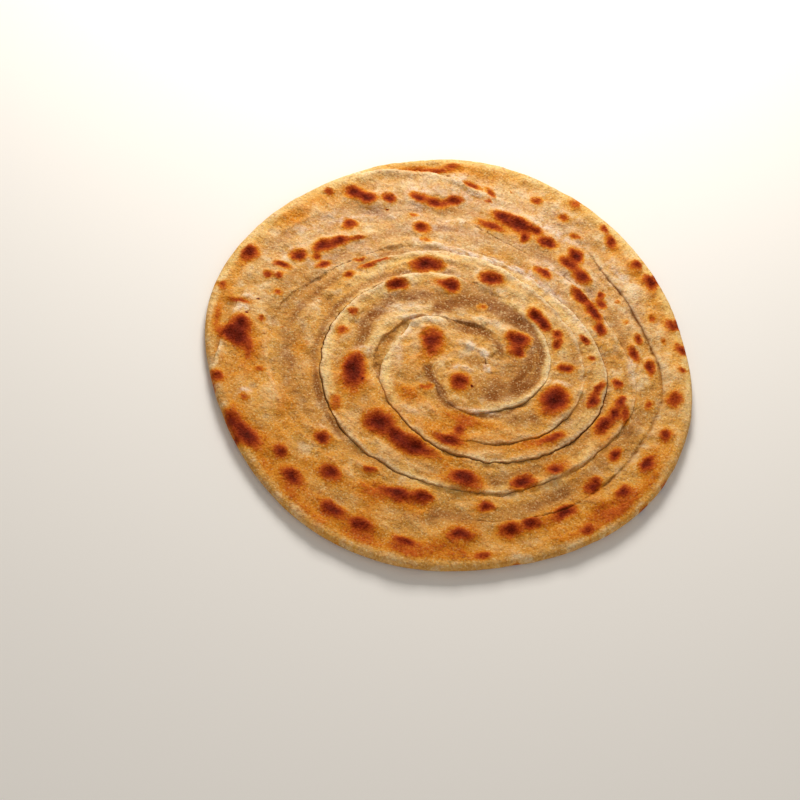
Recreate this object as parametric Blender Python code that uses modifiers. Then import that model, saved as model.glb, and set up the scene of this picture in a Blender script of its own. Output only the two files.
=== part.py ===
"""A coiled paratha: a griddle-baked wheat flatbread, modelled as one solid piece of dough.

The dough was rolled into ropes, wound into a flat coil and rolled out again, so two long folds run
outwards from the middle to the rim, each for about two turns. Along a fold the inner turn of dough ends
in a raised lip, and the next turn lies a little lower just outside it. The underside is flat, for it
lay on the griddle, and only lifts a little at the rim.

Metres, +Z up. The bread lies with its coiled side up, its underside on Z = 0 and the middle of its
outline at the origin. Angles run counterclockwise from +X, as seen from above.
"""

import math
from dataclasses import dataclass

import bpy
import numpy as np

NODE_NAME = "paratha"

# Driving dimensions.
MEAN_RADIUS = 0.0908
MIDDLE_THICKNESS = 0.0054
RIM_THICKNESS = 0.0038
RIM_LIFT = 0.0007
FLAT_SHARE = 0.78

# The coil was wound a little to the right of the outline's middle.
COIL_CENTRE = np.array((0.0049, -0.0005))

# The rolled-out edge is not a true circle: waves round it, height and angle of the first crest.
OUTLINE_WAVES = (
    (2, 0.00037, math.radians(-144)),
    (3, 0.00053, math.radians(-81)),
    (4, 0.00126, math.radians(-48)),
    (5, 0.00052, math.radians(173)),
)

# How finely the bread is divided: steps round it, and rings on its top, rim and underside.
STEPS_ROUND = 108
TOP_RINGS = 34
RIM_RINGS = 4
UNDERSIDE_RINGS = 7

# The shape of a lip: it dies away inwards and the hollow outside it outwards, over these distances,
# and the face between them is this wide. Rings of the mesh crowd together within RING_REACH of it.
LIP_FALL = 0.0060
HOLLOW_FALL = 0.0045
LIP_FACE = 0.0012
RING_REACH = 0.0016
RING_CROWDING = 3.2

TWELFTH = math.tau / 12

BAKED_DOUGH = (0.58, 0.34, 0.13, 1.0)
BAKED_ROUGHNESS = 0.55


@dataclass(frozen=True)
class Fold:
    """One rolled edge of dough, a spiral about the coil's middle.

    It starts at first_twelfth, in twelfths of a turn from +X, and radii holds its distance from the
    middle there and at each twelfth after it, in millimetres. Its last radii lie past the rim.
    heights holds how far the lip stands up, in millimetres, at even distances from start to end.
    """

    first_twelfth: int
    radii: tuple
    heights: tuple

    def passes(self, angle):
        """Yields radius and lip height, in metres, for each time the fold crosses the angles."""
        last = self.first_twelfth + len(self.radii) - 1
        for turn in range(self.first_twelfth // 12, last // 12 + 1):
            along = angle / TWELFTH + 12 * turn - self.first_twelfth
            inside = (along >= 0) & (along <= len(self.radii) - 1)
            if not inside.any():
                continue
            share = along / (len(self.radii) - 1)
            radius = smooth_through(self.radii, along) / 1000
            height = smooth_through(self.heights, share * (len(self.heights) - 1)) / 1000
            yield radius, np.where(inside, height, 0.0)


FOLDS = (
    Fold(
        first_twelfth=2,
        radii=(14.8, 14.4, 16.6, 24.0, 30.8, 34.5, 37.1, 42.5, 47.4, 51.5, 53.5, 48.7, 44.4, 46.9, 52.3,
               59.3, 72.1, 71.3, 67.4, 68.0, 70.6, 71.8, 74.6, 69.6, 72.8, 76.3, 88.9, 100.0),
        heights=(0.0, 1.4, 1.5, 1.2, 1.4, 1.2, 0.9, 0.6, 0.7, 0.9, 1.2, 0.9, 0.8, 0.8),
    ),
    Fold(
        first_twelfth=-5,
        radii=(10.5, 17.7, 23.2, 25.6, 28.8, 31.6, 31.6, 30.0, 32.1, 38.1, 43.2, 50.3, 55.0, 56.6, 57.0,
               58.9, 60.9, 64.9, 57.6, 55.4, 58.0, 70.5, 86.1, 89.4, 100.0),
        heights=(0.0, 1.1, 1.3, 1.2, 1.3, 1.5, 1.3, 1.1, 0.8, 0.6, 0.7, 0.8, 0.6),
    ),
    Fold(
        first_twelfth=-3,
        radii=(37.0, 39.6, 43.5, 44.8, 42.3, 40.4, 43.9, 49.0, 54.0),
        heights=(0.0, 1.0, 0.6, 1.0, 1.1, 0.5, 0.0),
    ),
)


def smooth_through(values, position):
    """A smooth curve through evenly spaced values (Catmull-Rom), read at positions 0, 1, 2 ..."""
    points = np.asarray(values, float)
    held = np.clip(position, 0, len(points) - 1)
    left = np.minimum(np.floor(held).astype(int), len(points) - 2)
    t = held - left
    before = points[np.maximum(left - 1, 0)]
    start = points[left]
    end = points[left + 1]
    after = points[np.minimum(left + 2, len(points) - 1)]
    return 0.5 * (
        2 * start
        + (end - before) * t
        + (2 * before - 5 * start + 4 * end - after) * t**2
        + (3 * start - before - 3 * end + after) * t**3
    )


def smooth_step(low, high, value):
    """Rises from 0 at low to 1 at high along an S-shaped curve."""
    t = np.clip((value - low) / (high - low), 0, 1)
    return t * t * (3 - 2 * t)


def outline_radius(angle):
    """Distance from the outline's middle to the rim, in a direction."""
    radius = np.full_like(angle, MEAN_RADIUS)
    for count, height, crest in OUTLINE_WAVES:
        radius += height * np.cos(count * angle - crest)
    return radius


def rim_distance(angle):
    """Distance from the coil's middle to the rim, along a ray from the coil's middle.

    The ray meets a circle of the outline's radius where it points, found again a few times because
    that radius changes with the meeting point.
    """
    ray = np.stack((np.cos(angle), np.sin(angle)), axis=-1)
    along = ray @ COIL_CENTRE
    aside = ray[:, 0] * COIL_CENTRE[1] - ray[:, 1] * COIL_CENTRE[0]
    distance = np.full_like(angle, MEAN_RADIUS)
    for _ in range(4):
        meeting = COIL_CENTRE + distance[:, None] * ray
        radius = outline_radius(np.arctan2(meeting[:, 1], meeting[:, 0]))
        distance = np.sqrt(radius**2 - aside**2) - along
    return distance


def fold_relief(radius, angle):
    """Height of the coil's lips and hollows above the plain bread.

    Inside a fold the dough rises towards it as an exponential, across the fold it drops over the width
    of the lip's face, and outside it climbs back from the hollow as another exponential.
    """
    relief = np.zeros_like(radius)
    for fold in FOLDS:
        for fold_radius, height in fold.passes(angle):
            past = radius - fold_radius
            outside = smooth_step(-LIP_FACE / 2, LIP_FACE / 2, past)
            lip = np.exp(np.minimum(past, 0) / LIP_FALL)
            hollow = np.exp(-np.maximum(past, 0) / HOLLOW_FALL)
            relief += height * (0.5 * lip * (1 - outside) - 0.5 * hollow * outside)
    return relief


def crowd_rings(share, angle, rim):
    """Moves rings along one ray so that more of them lie close to the folds.

    The number of rings up to a distance grows with a density that peaks at each fold, and a ring goes
    where that number, as a share of the whole, is its own share of the way out.
    """
    distance = np.linspace(0, rim, 600)
    density = np.ones_like(distance)
    for fold in FOLDS:
        for fold_radius, height in fold.passes(np.array([angle])):
            strength = min(1.0, float(height[0]) / 0.0008)
            density += RING_CROWDING * strength * np.exp(-(((distance - fold_radius) / RING_REACH) ** 2))
    count = np.concatenate(([0], np.cumsum((density[1:] + density[:-1]) / 2)))
    return np.interp(share * count[-1], count, distance)


def section_profile():
    """The bread's plain section as (share of the radius, level) pairs, from middle to rim to middle.

    Level is 1 on the top and -1 on the underside. The rim is half a circle.
    """
    rim_share = RIM_THICKNESS / 2 / MEAN_RADIUS
    flat = 1 - rim_share
    top = [(flat * i / TOP_RINGS, 1.0) for i in range(TOP_RINGS)]
    turn = [math.pi * (0.5 - i / RIM_RINGS) for i in range(RIM_RINGS + 1)]
    rim = [(flat + rim_share * math.cos(a), math.sin(a)) for a in turn]
    under = [(flat * (1 - i / UNDERSIDE_RINGS), -1.0) for i in range(1, UNDERSIDE_RINGS + 1)]
    return top + rim + under


def turned_disc():
    """Turns the section about the coil's middle with a Screw modifier and returns the plain mesh."""
    half = MIDDLE_THICKNESS / 2
    points = [(share * MEAN_RADIUS, 0.0, level * half) for share, level in section_profile()]
    profile = bpy.data.meshes.new("section")
    profile.from_pydata(points, [(i, i + 1) for i in range(len(points) - 1)], [])
    turned = bpy.data.objects.new("turned_section", profile)
    bpy.context.scene.collection.objects.link(turned)
    screw = turned.modifiers.new("turn", "SCREW")
    screw.axis = "Z"
    screw.steps = STEPS_ROUND
    screw.render_steps = STEPS_ROUND
    screw.use_merge_vertices = True
    screw.merge_threshold = 0.00001
    evaluated = turned.evaluated_get(bpy.context.evaluated_depsgraph_get())
    disc = bpy.data.meshes.new_from_object(evaluated)
    bpy.data.objects.remove(turned)
    return disc


def shape_bread(disc):
    """Moves the plain disc's vertices to the bread's outline, thickness and coiled relief."""
    flat = np.empty(len(disc.vertices) * 3, np.float32)
    disc.vertices.foreach_get("co", flat)
    points = flat.reshape(-1, 3).astype(float)
    angle = np.arctan2(points[:, 1], points[:, 0])
    share = np.hypot(points[:, 0], points[:, 1]) / MEAN_RADIUS
    level = points[:, 2] / (MIDDLE_THICKNESS / 2)
    rim = rim_distance(angle)

    flat_share = 1 - RIM_THICKNESS / 2 / MEAN_RADIUS
    radius = share * rim
    on_top = (level > 0.999) & (share < flat_share - 1e-4) & (share > 1e-4)
    step = np.round(angle / (math.tau / STEPS_ROUND)).astype(int)
    for ray in np.unique(step):
        along_ray = on_top & (step == ray)
        edge = rim[along_ray][0] * flat_share
        radius[along_ray] = crowd_rings(share[along_ray] / flat_share, ray * math.tau / STEPS_ROUND, edge)

    out = np.clip(radius / rim, 0, 1)
    thickness = MIDDLE_THICKNESS + (RIM_THICKNESS - MIDDLE_THICKNESS) * smooth_step(0.35, 1.0, out)
    underside = RIM_LIFT * smooth_step(FLAT_SHARE, 1.0, out)
    top = underside + thickness + fold_relief(radius, angle)
    middle = (top + underside) / 2
    points[:, 2] = middle + level * (top - underside) / 2
    points[:, 0] = COIL_CENTRE[0] + radius * np.cos(angle)
    points[:, 1] = COIL_CENTRE[1] + radius * np.sin(angle)
    box_middle = (points[:, :2].min(axis=0) + points[:, :2].max(axis=0)) / 2
    points[:, :2] -= box_middle
    disc.vertices.foreach_set("co", points.astype(np.float32).reshape(-1))
    disc.update()


def dough_material():
    """Wheat dough baked on a griddle: golden brown, slightly oily."""
    material = bpy.data.materials.new("baked_dough")
    material.use_nodes = True
    shader = material.node_tree.nodes["Principled BSDF"]
    shader.inputs["Base Color"].default_value = BAKED_DOUGH
    shader.inputs["Roughness"].default_value = BAKED_ROUGHNESS
    shader.inputs["Metallic"].default_value = 0.0
    return material


def main():
    """Empties the scene and builds the bread."""
    for old in list(bpy.data.objects):
        bpy.data.objects.remove(old)
    collection = bpy.data.collections.new("paratha_flatbread")
    bpy.context.scene.collection.children.link(collection)
    bread = turned_disc()
    bread.name = NODE_NAME
    shape_bread(bread)
    bread.materials.clear()
    bread.materials.append(dough_material())
    bread.shade_smooth()
    collection.objects.link(bpy.data.objects.new(NODE_NAME, bread))


main()
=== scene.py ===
"""Looks of a coiled paratha: a wholewheat flatbread baked on an oiled griddle.

The bread is one piece of dough. Two long folds wind outwards from its middle, and it is golden along
their lips, pale and raw-looking in their hollows, and scorched where its high spots met the griddle.

Shapes are worked out in millimetres and written to the meshes in metres. Angles run counterclockwise
from +X, as seen from above, and places along a fold are given in twelfths of a turn.
"""

import logging
import math
from dataclasses import dataclass
from enum import Enum

import bpy
import numpy as np
from mathutils import Matrix, Vector


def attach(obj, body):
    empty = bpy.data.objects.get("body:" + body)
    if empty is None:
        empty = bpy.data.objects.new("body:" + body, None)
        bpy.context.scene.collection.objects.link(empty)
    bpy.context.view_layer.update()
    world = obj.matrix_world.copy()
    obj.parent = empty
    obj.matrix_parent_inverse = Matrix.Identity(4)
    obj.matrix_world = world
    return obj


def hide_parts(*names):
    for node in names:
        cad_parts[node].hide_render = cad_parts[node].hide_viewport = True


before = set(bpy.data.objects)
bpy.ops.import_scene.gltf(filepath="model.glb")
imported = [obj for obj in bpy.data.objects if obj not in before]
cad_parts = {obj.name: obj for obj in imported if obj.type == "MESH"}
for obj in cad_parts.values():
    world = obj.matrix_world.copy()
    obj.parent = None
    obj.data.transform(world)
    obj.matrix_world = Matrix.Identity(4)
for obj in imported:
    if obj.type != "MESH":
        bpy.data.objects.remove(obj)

LOG = logging.getLogger("paratha")
MM = 0.001
TWELFTH = math.tau / 12
NODE = "paratha"
BODY = "root"
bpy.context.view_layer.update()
NOISE_VALUES = 8192  # a power of two, so that a mask brings a hash into range
HASH_PRIMES = (73856093, 19349663, 83492791, 49979687)

Array = np.ndarray


# ---------------------------------------------------------------- small tools


def srgb(code: str) -> tuple[float, float, float, float]:
    """Turns an sRGB hex colour into linear RGBA.

    Args:
        code: Six hex digits, such as "D9A35B".

    Returns:
        Linear red, green and blue, and an alpha of 1.
    """
    parts = [int(code[i : i + 2], 16) / 255 for i in (0, 2, 4)]
    red, green, blue = (p / 12.92 if p <= 0.04045 else ((p + 0.055) / 1.055) ** 2.4 for p in parts)
    return red, green, blue, 1.0


def ramp(low: float, high: float, value: Array) -> Array:
    """Rises from 0 at low to 1 at high along 3t^2 - 2t^3."""
    t = np.clip((value - low) / (high - low), 0, 1)
    return t * t * (3 - 2 * t)


def bell(value: Array, width: float | Array) -> Array:
    """A hump exp(-(value / width)^2)."""
    return np.exp(-((value / width) ** 2))


def smooth_through(values: tuple[float, ...], position: Array) -> Array:
    """Reads a Catmull-Rom curve through evenly spaced values.

    Args:
        values: What the curve passes through at positions 0, 1, 2 ...
        position: Where it is read, held between the first and last.

    Returns:
        The curve's value at each position.
    """
    points = np.asarray(values, float)
    held = np.clip(position, 0, len(points) - 1)
    left = np.minimum(np.floor(held).astype(int), len(points) - 2)
    t = held - left
    before = points[np.maximum(left - 1, 0)]
    start = points[left]
    end = points[left + 1]
    after = points[np.minimum(left + 2, len(points) - 1)]
    return 0.5 * (
        2 * start
        + (end - before) * t
        + (2 * before - 5 * start + 4 * end - after) * t**2
        + (3 * start - before - 3 * end + after) * t**3
    )


def either(*shares: Array) -> Array:
    """How strong overlapping shares are together, 1 - (1 - a) * (1 - b) and so on."""
    return 1 - math.prod(1 - share for share in shares)


def noise(seed: int, *place: Array | float) -> Array:
    """Smooth random relief: random values on a unit lattice, blended between a cell's corners.

    The fade between corners is 6t^5 - 15t^4 + 10t^3, and a corner's value is looked up by a hash of its
    whole-number coordinates.

    Args:
        seed: Picks the random values.
        place: Coordinates in lattice cells, one array for each dimension, up to four.

    Returns:
        Values between -1 and 1, in the shape of the coordinates.
    """
    table = np.random.default_rng(seed).uniform(-1, 1, NOISE_VALUES)
    spot = np.stack(np.broadcast_arrays(*place)).astype(float)
    cell = np.floor(spot).astype(np.int64)
    part = spot - cell
    fade = part**3 * (part * (part * 6 - 15) + 10)
    total = np.zeros(spot.shape[1:])
    for corner in np.ndindex(*(2,) * len(place)):
        weight = np.ones_like(total)
        key = np.zeros(total.shape, np.int64)
        for axis, (step, prime) in enumerate(zip(corner, HASH_PRIMES)):
            weight *= fade[axis] if step else 1 - fade[axis]
            key ^= (cell[axis] + step) * prime
        total += weight * table[key & (NOISE_VALUES - 1)]
    return total


@dataclass(frozen=True)
class Bumps:
    """Smooth random relief over the bread: its seed, how wide its bumps are and how high."""

    seed: int
    size: float
    height: float = 1.0

    def at(self, x: Array, y: Array) -> Array:
        """Height at places on the bread."""
        return self.height * noise(self.seed, x / self.size, y / self.size)


@dataclass(frozen=True)
class Wrinkles:
    """Random relief drawn out along the dough's layers, in ridges a few millimetres across.

    size is a ridge's width and turns how often its height changes in a radian of the coil. Creased
    wrinkles follow crease_level - |noise|, which has sharp crests where the noise passes 0.
    """

    seed: int
    size: float
    turns: float
    height: float
    creased: bool = False
    crease_level: float = 0.3

    def scales(self) -> tuple[float, ...]:
        """Noise cells a unit of each coordinate along the layers."""
        return 1 / self.size, 1 / self.size, self.turns, self.turns

    def at(self, lay: Array) -> Array:
        """Height at places given by their four coordinates along the layers, as Bread.lay makes them."""
        value = noise(self.seed, *(lay[..., i] * k for i, k in enumerate(self.scales())))
        return self.height * (self.crease_level - np.abs(value) if self.creased else value)


# ---------------------------------------------------------------- the coil


@dataclass(frozen=True)
class Stretch:
    """How a fold stands at one place along it, in millimetres where it is a length.

    inner and outer are the heights of the dough just inside and just outside the fold, against the
    plain bread. crack is how far the two sides have parted, from 0 to 1, and gap is the width of open
    floor between them. fall is how far inwards the lip takes to sink to the plain bread, and face is
    half the width of the slope between the two sides. width is that of the crack, and spill is how far
    outwards the outer side takes to even out.
    """

    twelfth: float
    inner: float
    outer: float
    crack: float = 0.0
    gap: float = 0.0
    fall: float = 5.0
    face: float = 0.22
    width: float = 0.18
    spill: float = 5.0


# What a fold's stretches say about its shape.
SHAPE_KEYS = ("inner", "outer", "crack", "gap", "fall", "face", "width", "spill")


@dataclass(frozen=True)
class Crossing:
    """One crossing of a fold by a ring of rays: an array for each property, one value a ray.

    Those from inner to spill are a Stretch's. slant is the cosine of the angle at which the rays meet
    the fold, course the place along it, and near and far the mesh's crowding at its two sides.
    """

    radius: Array
    inner: Array
    outer: Array
    crack: Array
    gap: Array
    fall: Array
    face: Array
    width: Array
    spill: Array
    slant: Array
    course: Array
    near: Array
    far: Array
    seed: int


@dataclass(frozen=True)
class Fold:
    """A rolled edge of dough that winds about the coil's middle.

    radii holds its distance from the middle at first_twelfth and at each twelfth of a turn after it.
    bends are local departures from that smooth course: where, how long in twelfths, and how far out.
    ragged is how far the edge strays from its course, in waves of ragged_sizes, and run_out how far
    outwards the course goes on in each twelfth past its end. The mesh has its closest rings where the
    two sides are full_step apart, averaged over as many twelfths as neighbours on either hand.
    """

    name: str
    seed: int
    first_twelfth: float
    radii: tuple[float, ...]
    bends: tuple[tuple[float, float, float], ...]
    stretches: tuple[Stretch, ...]
    ragged: float = 0.22
    ragged_sizes: tuple[float, float] = (7.0, 2.2)
    run_out: float = 2.0
    full_step: float = 0.9
    neighbours: float = 0.8

    @property
    def last_twelfth(self) -> float:
        """Where radii ends."""
        return self.first_twelfth + len(self.radii) - 1

    def course_at(self, twelfth: Array) -> Array:
        """Follows the fold's smooth course, which runs on outwards past its end.

        Args:
            twelfth: Places along the fold.

        Returns:
            The course's distance from the coil's middle.
        """
        radius = smooth_through(self.radii, twelfth - self.first_twelfth)
        for where, length, out in self.bends:
            radius = radius + out * bell(twelfth - where, length)
        return radius + self.run_out * np.maximum(twelfth - self.last_twelfth, 0)

    def radius_at(self, twelfth: Array) -> Array:
        """Follows the fold's ragged edge: its course and two sizes of random waves.

        Args:
            twelfth: Places along the fold.

        Returns:
            The edge's distance from the coil's middle.
        """
        radius = self.course_at(twelfth)
        least_radius, apart = 8, 99
        along = twelfth * TWELFTH * np.maximum(radius, least_radius)
        waves = (noise(self.seed, along / size + apart * i) for i, size in enumerate(self.ragged_sizes))
        return radius + self.ragged * sum(waves)

    def crowding_at(self, twelfth: Array) -> tuple[Array, Array]:
        """How closely the mesh needs its rings, averaged along the fold so that the rings never shear.

        Args:
            twelfth: Places along the fold.

        Returns:
            The need at the fold and at a gap's far side, from 0 to 1.
        """
        marks = [s.twelfth for s in self.stretches]
        places = np.linspace(-1, 1, 9)[:, None]
        around = twelfth + self.neighbours * places
        steps = [min(1, (abs(s.inner - s.outer) + s.crack) / self.full_step) for s in self.stretches]
        opens = [min(1, s.gap) for s in self.stretches]
        return np.interp(around, marks, steps).mean(axis=0), np.interp(around, marks, opens).mean(axis=0)

    def slant_at(self, twelfth: Array, radius: Array) -> Array:
        """How squarely rays meet the fold, 1 / sqrt(1 + (slope / radius)^2).

        Args:
            twelfth: Places along the fold.
            radius: Its distance from the middle there.

        Returns:
            The cosine of the angle between a ray and the fold's normal.
        """
        aside, least_radius = 0.1, 5
        rise = self.radius_at(twelfth + aside) - self.radius_at(twelfth - aside)
        return 1 / np.hypot(1, rise / (2 * aside * TWELFTH) / np.maximum(radius, least_radius))

    def crack_share(self, twelfth: Array, radius: Array, crack: Array) -> Array:
        """How far a crack has opened. A shallow one comes and goes at random.

        Args:
            twelfth: Places along the fold.
            radius: Its distance from the middle there.
            crack: How far its two sides have parted on the whole.

        Returns:
            The crack's share at each place.
        """
        size, change, shift, most = 4, 1.8, 0.25, 1.2
        luck = noise(self.seed + 2, twelfth * TWELFTH * radius / size) - shift
        return crack * np.clip(1 + change * luck * (1 - crack), 0, most)

    def crossings(self, angle: Array) -> list[Crossing]:
        """Finds every crossing of the fold by rays from the coil's middle.

        Args:
            angle: Directions of the rays, from 0 to a full turn.

        Returns:
            A crossing for each turn that the fold makes past the rays. Rays that a turn doesn't reach
            have a fold of no height there.
        """
        marks = np.array([s.twelfth for s in self.stretches])
        found = []
        for turn in range(int(self.first_twelfth // 12), int(self.last_twelfth // 12) + 1):
            twelfth = angle / TWELFTH + 12 * turn
            reached = (twelfth > marks[0]) & (twelfth < marks[-1])
            if not reached.any():
                continue
            read = {
                key: reached * np.interp(twelfth, marks, [getattr(s, key) for s in self.stretches])
                for key in SHAPE_KEYS
            }
            radius = self.radius_at(twelfth)
            read["crack"] = self.crack_share(twelfth, radius, read["crack"])
            near, far = self.crowding_at(twelfth)
            rest = {"slant": self.slant_at(twelfth, radius), "near": near, "far": far, "seed": self.seed}
            found.append(Crossing(radius=radius, course=twelfth, **rest, **read))
        return found


# The fold that starts in the middle of the coil and goes round it twice.
INNER_FOLD = Fold(
    name="inner fold",
    seed=11,
    first_twelfth=1,
    radii=(15.5, 14.8, 14.4, 16.2, 22.8, 25.5, 33.4, 37.1, 42.5, 47.4, 51.5, 53.5, 48.7, 44.4, 46.9, 52.3,
           59.3, 72.1, 71.3, 67.4, 68.0, 70.6, 71.8, 74.6, 69.6, 72.8, 76.3, 88.9, 101.0),
    bends=((17.5, 0.3, -0.9), (23.6, 0.35, -1.0), (25.7, 0.35, -2.2), (26.5, 0.4, 2.2), (27.6, 0.3, 2.4)),
    stretches=(
        Stretch(1.2, 0, 0), Stretch(2.2, -0.25, 0.2, face=1), Stretch(3.1, -0.4, 0.4, face=0.7),
        Stretch(3.8, -0.2, 0.4, face=0.4), Stretch(4.4, 0.4, 0.4, 0.3), Stretch(4.7, 0.6, 0.4, 0.6, 0.4),
        Stretch(5, 0.65, 0.35, 0.5, 1.5), Stretch(5.5, 0.65, 0.3, 0.3, 3.4), Stretch(6, 0.65, 0.2, 0.2, 5),
        Stretch(6.35, 0.6, 0.15, 0.2, 4.4), Stretch(6.62, 0.5, 0.1, 0.3, 3.2),
        Stretch(6.95, 0.4, 0.05, 0.3, 1.1), Stretch(7.2, 0.3, 0, 0.6), Stretch(7.9, 0.45, -0.05, 0.85),
        Stretch(8.8, 0.5, -0.1, 1, width=0.3), Stretch(9.8, 0.5, -0.2, 0.8, 0.3),
        Stretch(11.4, 0.45, -0.25, 0.9, 0.2), Stretch(13, 0.45, -0.25, 0.6), Stretch(14, 0.4, -0.3, 0.4),
        Stretch(14.7, 0.3, -0.2, 0.4), Stretch(15.3, 0.15, -0.1, face=0.8),
        Stretch(16.2, -0.15, 0.15, face=1), Stretch(16.8, -0.2, 0.2, 0.3, face=0.7),
        Stretch(17.3, -0.25, 0.2, 0.5, face=0.4), Stretch(17.6, -0.2, 0.2, 0.2, face=0.8),
        Stretch(18.5, -0.2, 0.2, 0.1, face=0.9), Stretch(19.2, -0.2, 0.15, 0.1, face=0.8),
        Stretch(21, -0.1, 0.1, 0.1, face=0.6), Stretch(22.3, 0.1, 0.1, 0.7, width=0.3),
        Stretch(23.2, -0.15, 0.35, 0.7, face=0.5, width=0.75),
        Stretch(24.2, -0.3, 0.6, 0.7, face=0.6, width=0.8),
        Stretch(25.2, -0.3, 0.6, 0.7, face=0.5, width=0.7),
        Stretch(25.7, -0.25, 0.4, 0.4, face=0.4, width=0.4), Stretch(26.1, -0.1, 0.15, face=1),
        Stretch(26.8, 0.1, -0.1, 0.05, face=0.6), Stretch(27.2, 0.3, -0.2, 0.3),
        Stretch(27.6, 0.55, -0.3, 0.5, width=0.3), Stretch(28.4, 0.6, -0.35, 0.4, width=0.3),
        Stretch(29, 0, 0),
    ),
)

# The fold that wraps the middle and runs between the turns of the inner one.
OUTER_FOLD = Fold(
    name="outer fold",
    seed=23,
    first_twelfth=-6,
    radii=(8.0, 10.5, 17.7, 23.2, 25.6, 28.8, 31.6, 31.6, 30.0, 32.1, 38.1, 43.2, 50.3, 55.0, 56.6, 57.0,
           58.9, 60.9, 64.9, 57.6, 55.4, 58.0, 70.5, 84.6, 86.4, 97.0),
    bends=((14.6, 0.3, -1.0), (15.45, 0.3, 2.2), (16.45, 0.35, -1.3), (17.5, 0.3, -1.0)),
    stretches=(
        Stretch(-6, 0, 0), Stretch(-5, 0.3, -0.1, face=0.8), Stretch(-4, 0.4, -0.2, face=0.7),
        Stretch(-3.2, 0.35, -0.1, 0.1, face=0.6), Stretch(-2.5, 0.45, -0.1, 0.4, fall=2.4),
        Stretch(-1.9, 0.5, -0.2, 0.9, fall=2.6), Stretch(-1.3, 0.5, -0.2, 0.7, fall=2.6),
        Stretch(-0.4, 0.45, -0.15, 0.4, fall=2.6), Stretch(0.6, 0.45, -0.15, 0.3, fall=2),
        Stretch(1.6, 0.3, 0.05, 0.2, fall=2), Stretch(2.6, -0.3, 0.25, face=0.8),
        Stretch(3.3, 0.2, 0.1, 0.5), Stretch(4, 0.6, -0.2, 0.5), Stretch(5, 0.55, -0.2, 0.8),
        Stretch(6, 0.5, -0.2, 1.1, 0.2), Stretch(6.8, 0.5, -0.2, 0.8, 0.2),
        Stretch(7.6, 0.45, -0.15, 0.7, 0.4), Stretch(8.6, 0.45, -0.2, 0.7), Stretch(10, 0.45, -0.2, 0.6),
        Stretch(11.5, 0.35, -0.25, 0.35), Stretch(12.5, 0.2, -0.1, 0.2, face=0.5),
        Stretch(13.4, 0.15, -0.1, 0.55, face=0.3), Stretch(14.3, 0.05, 0.05, 0.3, face=0.5),
        Stretch(14.8, 0.1, -0.05, 0.65), Stretch(15.3, 0.05, 0.05, 0.2),
        Stretch(16.2, -0.2, 0.25, face=1.8), Stretch(17.2, -0.1, 0.15, face=2),
        Stretch(17.7, 0.1, 0, face=1), Stretch(18, 0.5, -0.35, 0.4, face=0.4),
        Stretch(18.3, 0.5, -0.4, 0.6), Stretch(19, 0, 0),
    ),
)

# The short fold between the others at the right and the top.
SIDE_FOLD = Fold(
    name="side fold",
    seed=37,
    first_twelfth=-3,
    radii=(37.0, 39.6, 43.5, 44.8, 42.3, 40.4, 43.9, 49.0, 54.0),
    bends=((-2.5, 0.2, -0.8), (4.5, 0.3, -0.9)),
    stretches=(
        Stretch(-3, 0, 0), Stretch(-2, 0.4, -0.2, 0.6), Stretch(-1, 0.5, -0.25, 0.9),
        Stretch(-0.5, 0.3, -0.1, 0.2), Stretch(0.5, 0.25, -0.15, 0), Stretch(1.3, 0.35, -0.25, 0.3),
        Stretch(2.2, 0.45, -0.3, 0.8), Stretch(3, 0.5, -0.3, 0.5), Stretch(3.8, 0.45, -0.2, 0.15),
        Stretch(4.6, 0.2, -0.1, 0.1), Stretch(5, 0, 0),
    ),
    ragged=0.3,
)

# The torn edge of a thin leaf of dough in the very middle.
TEAR = Fold(
    name="torn middle",
    seed=53,
    first_twelfth=-2,
    radii=(8.6, 9.2, 8.4, 5.6, 4.0, 3.6, 3.6, 4.0),
    bends=(),
    stretches=(
        Stretch(-2, 0, 0), Stretch(-1.3, -0.15, 0.25, 0.1, fall=2.5, spill=1.6, face=0.5),
        Stretch(-0.8, -0.2, 0.35, 0.2, fall=2.5, spill=1.5, width=0.3),
        Stretch(-0.3, -0.25, 0.15, 0.7, fall=2.5, spill=1.2, width=0.35),
        Stretch(0.1, -0.15, 0.35, 0.2, fall=2.5, spill=1.8, face=0.5),
        Stretch(1.2, -0.15, 0.4, fall=2.5, spill=2.6, face=0.9),
        Stretch(2.2, -0.15, 0.35, fall=2.5, spill=2.8, face=1),
        Stretch(3.2, -0.1, 0.15, fall=2.5, spill=2.5, face=1), Stretch(4.4, 0, 0),
    ),
    ragged=0.5,
)


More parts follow.
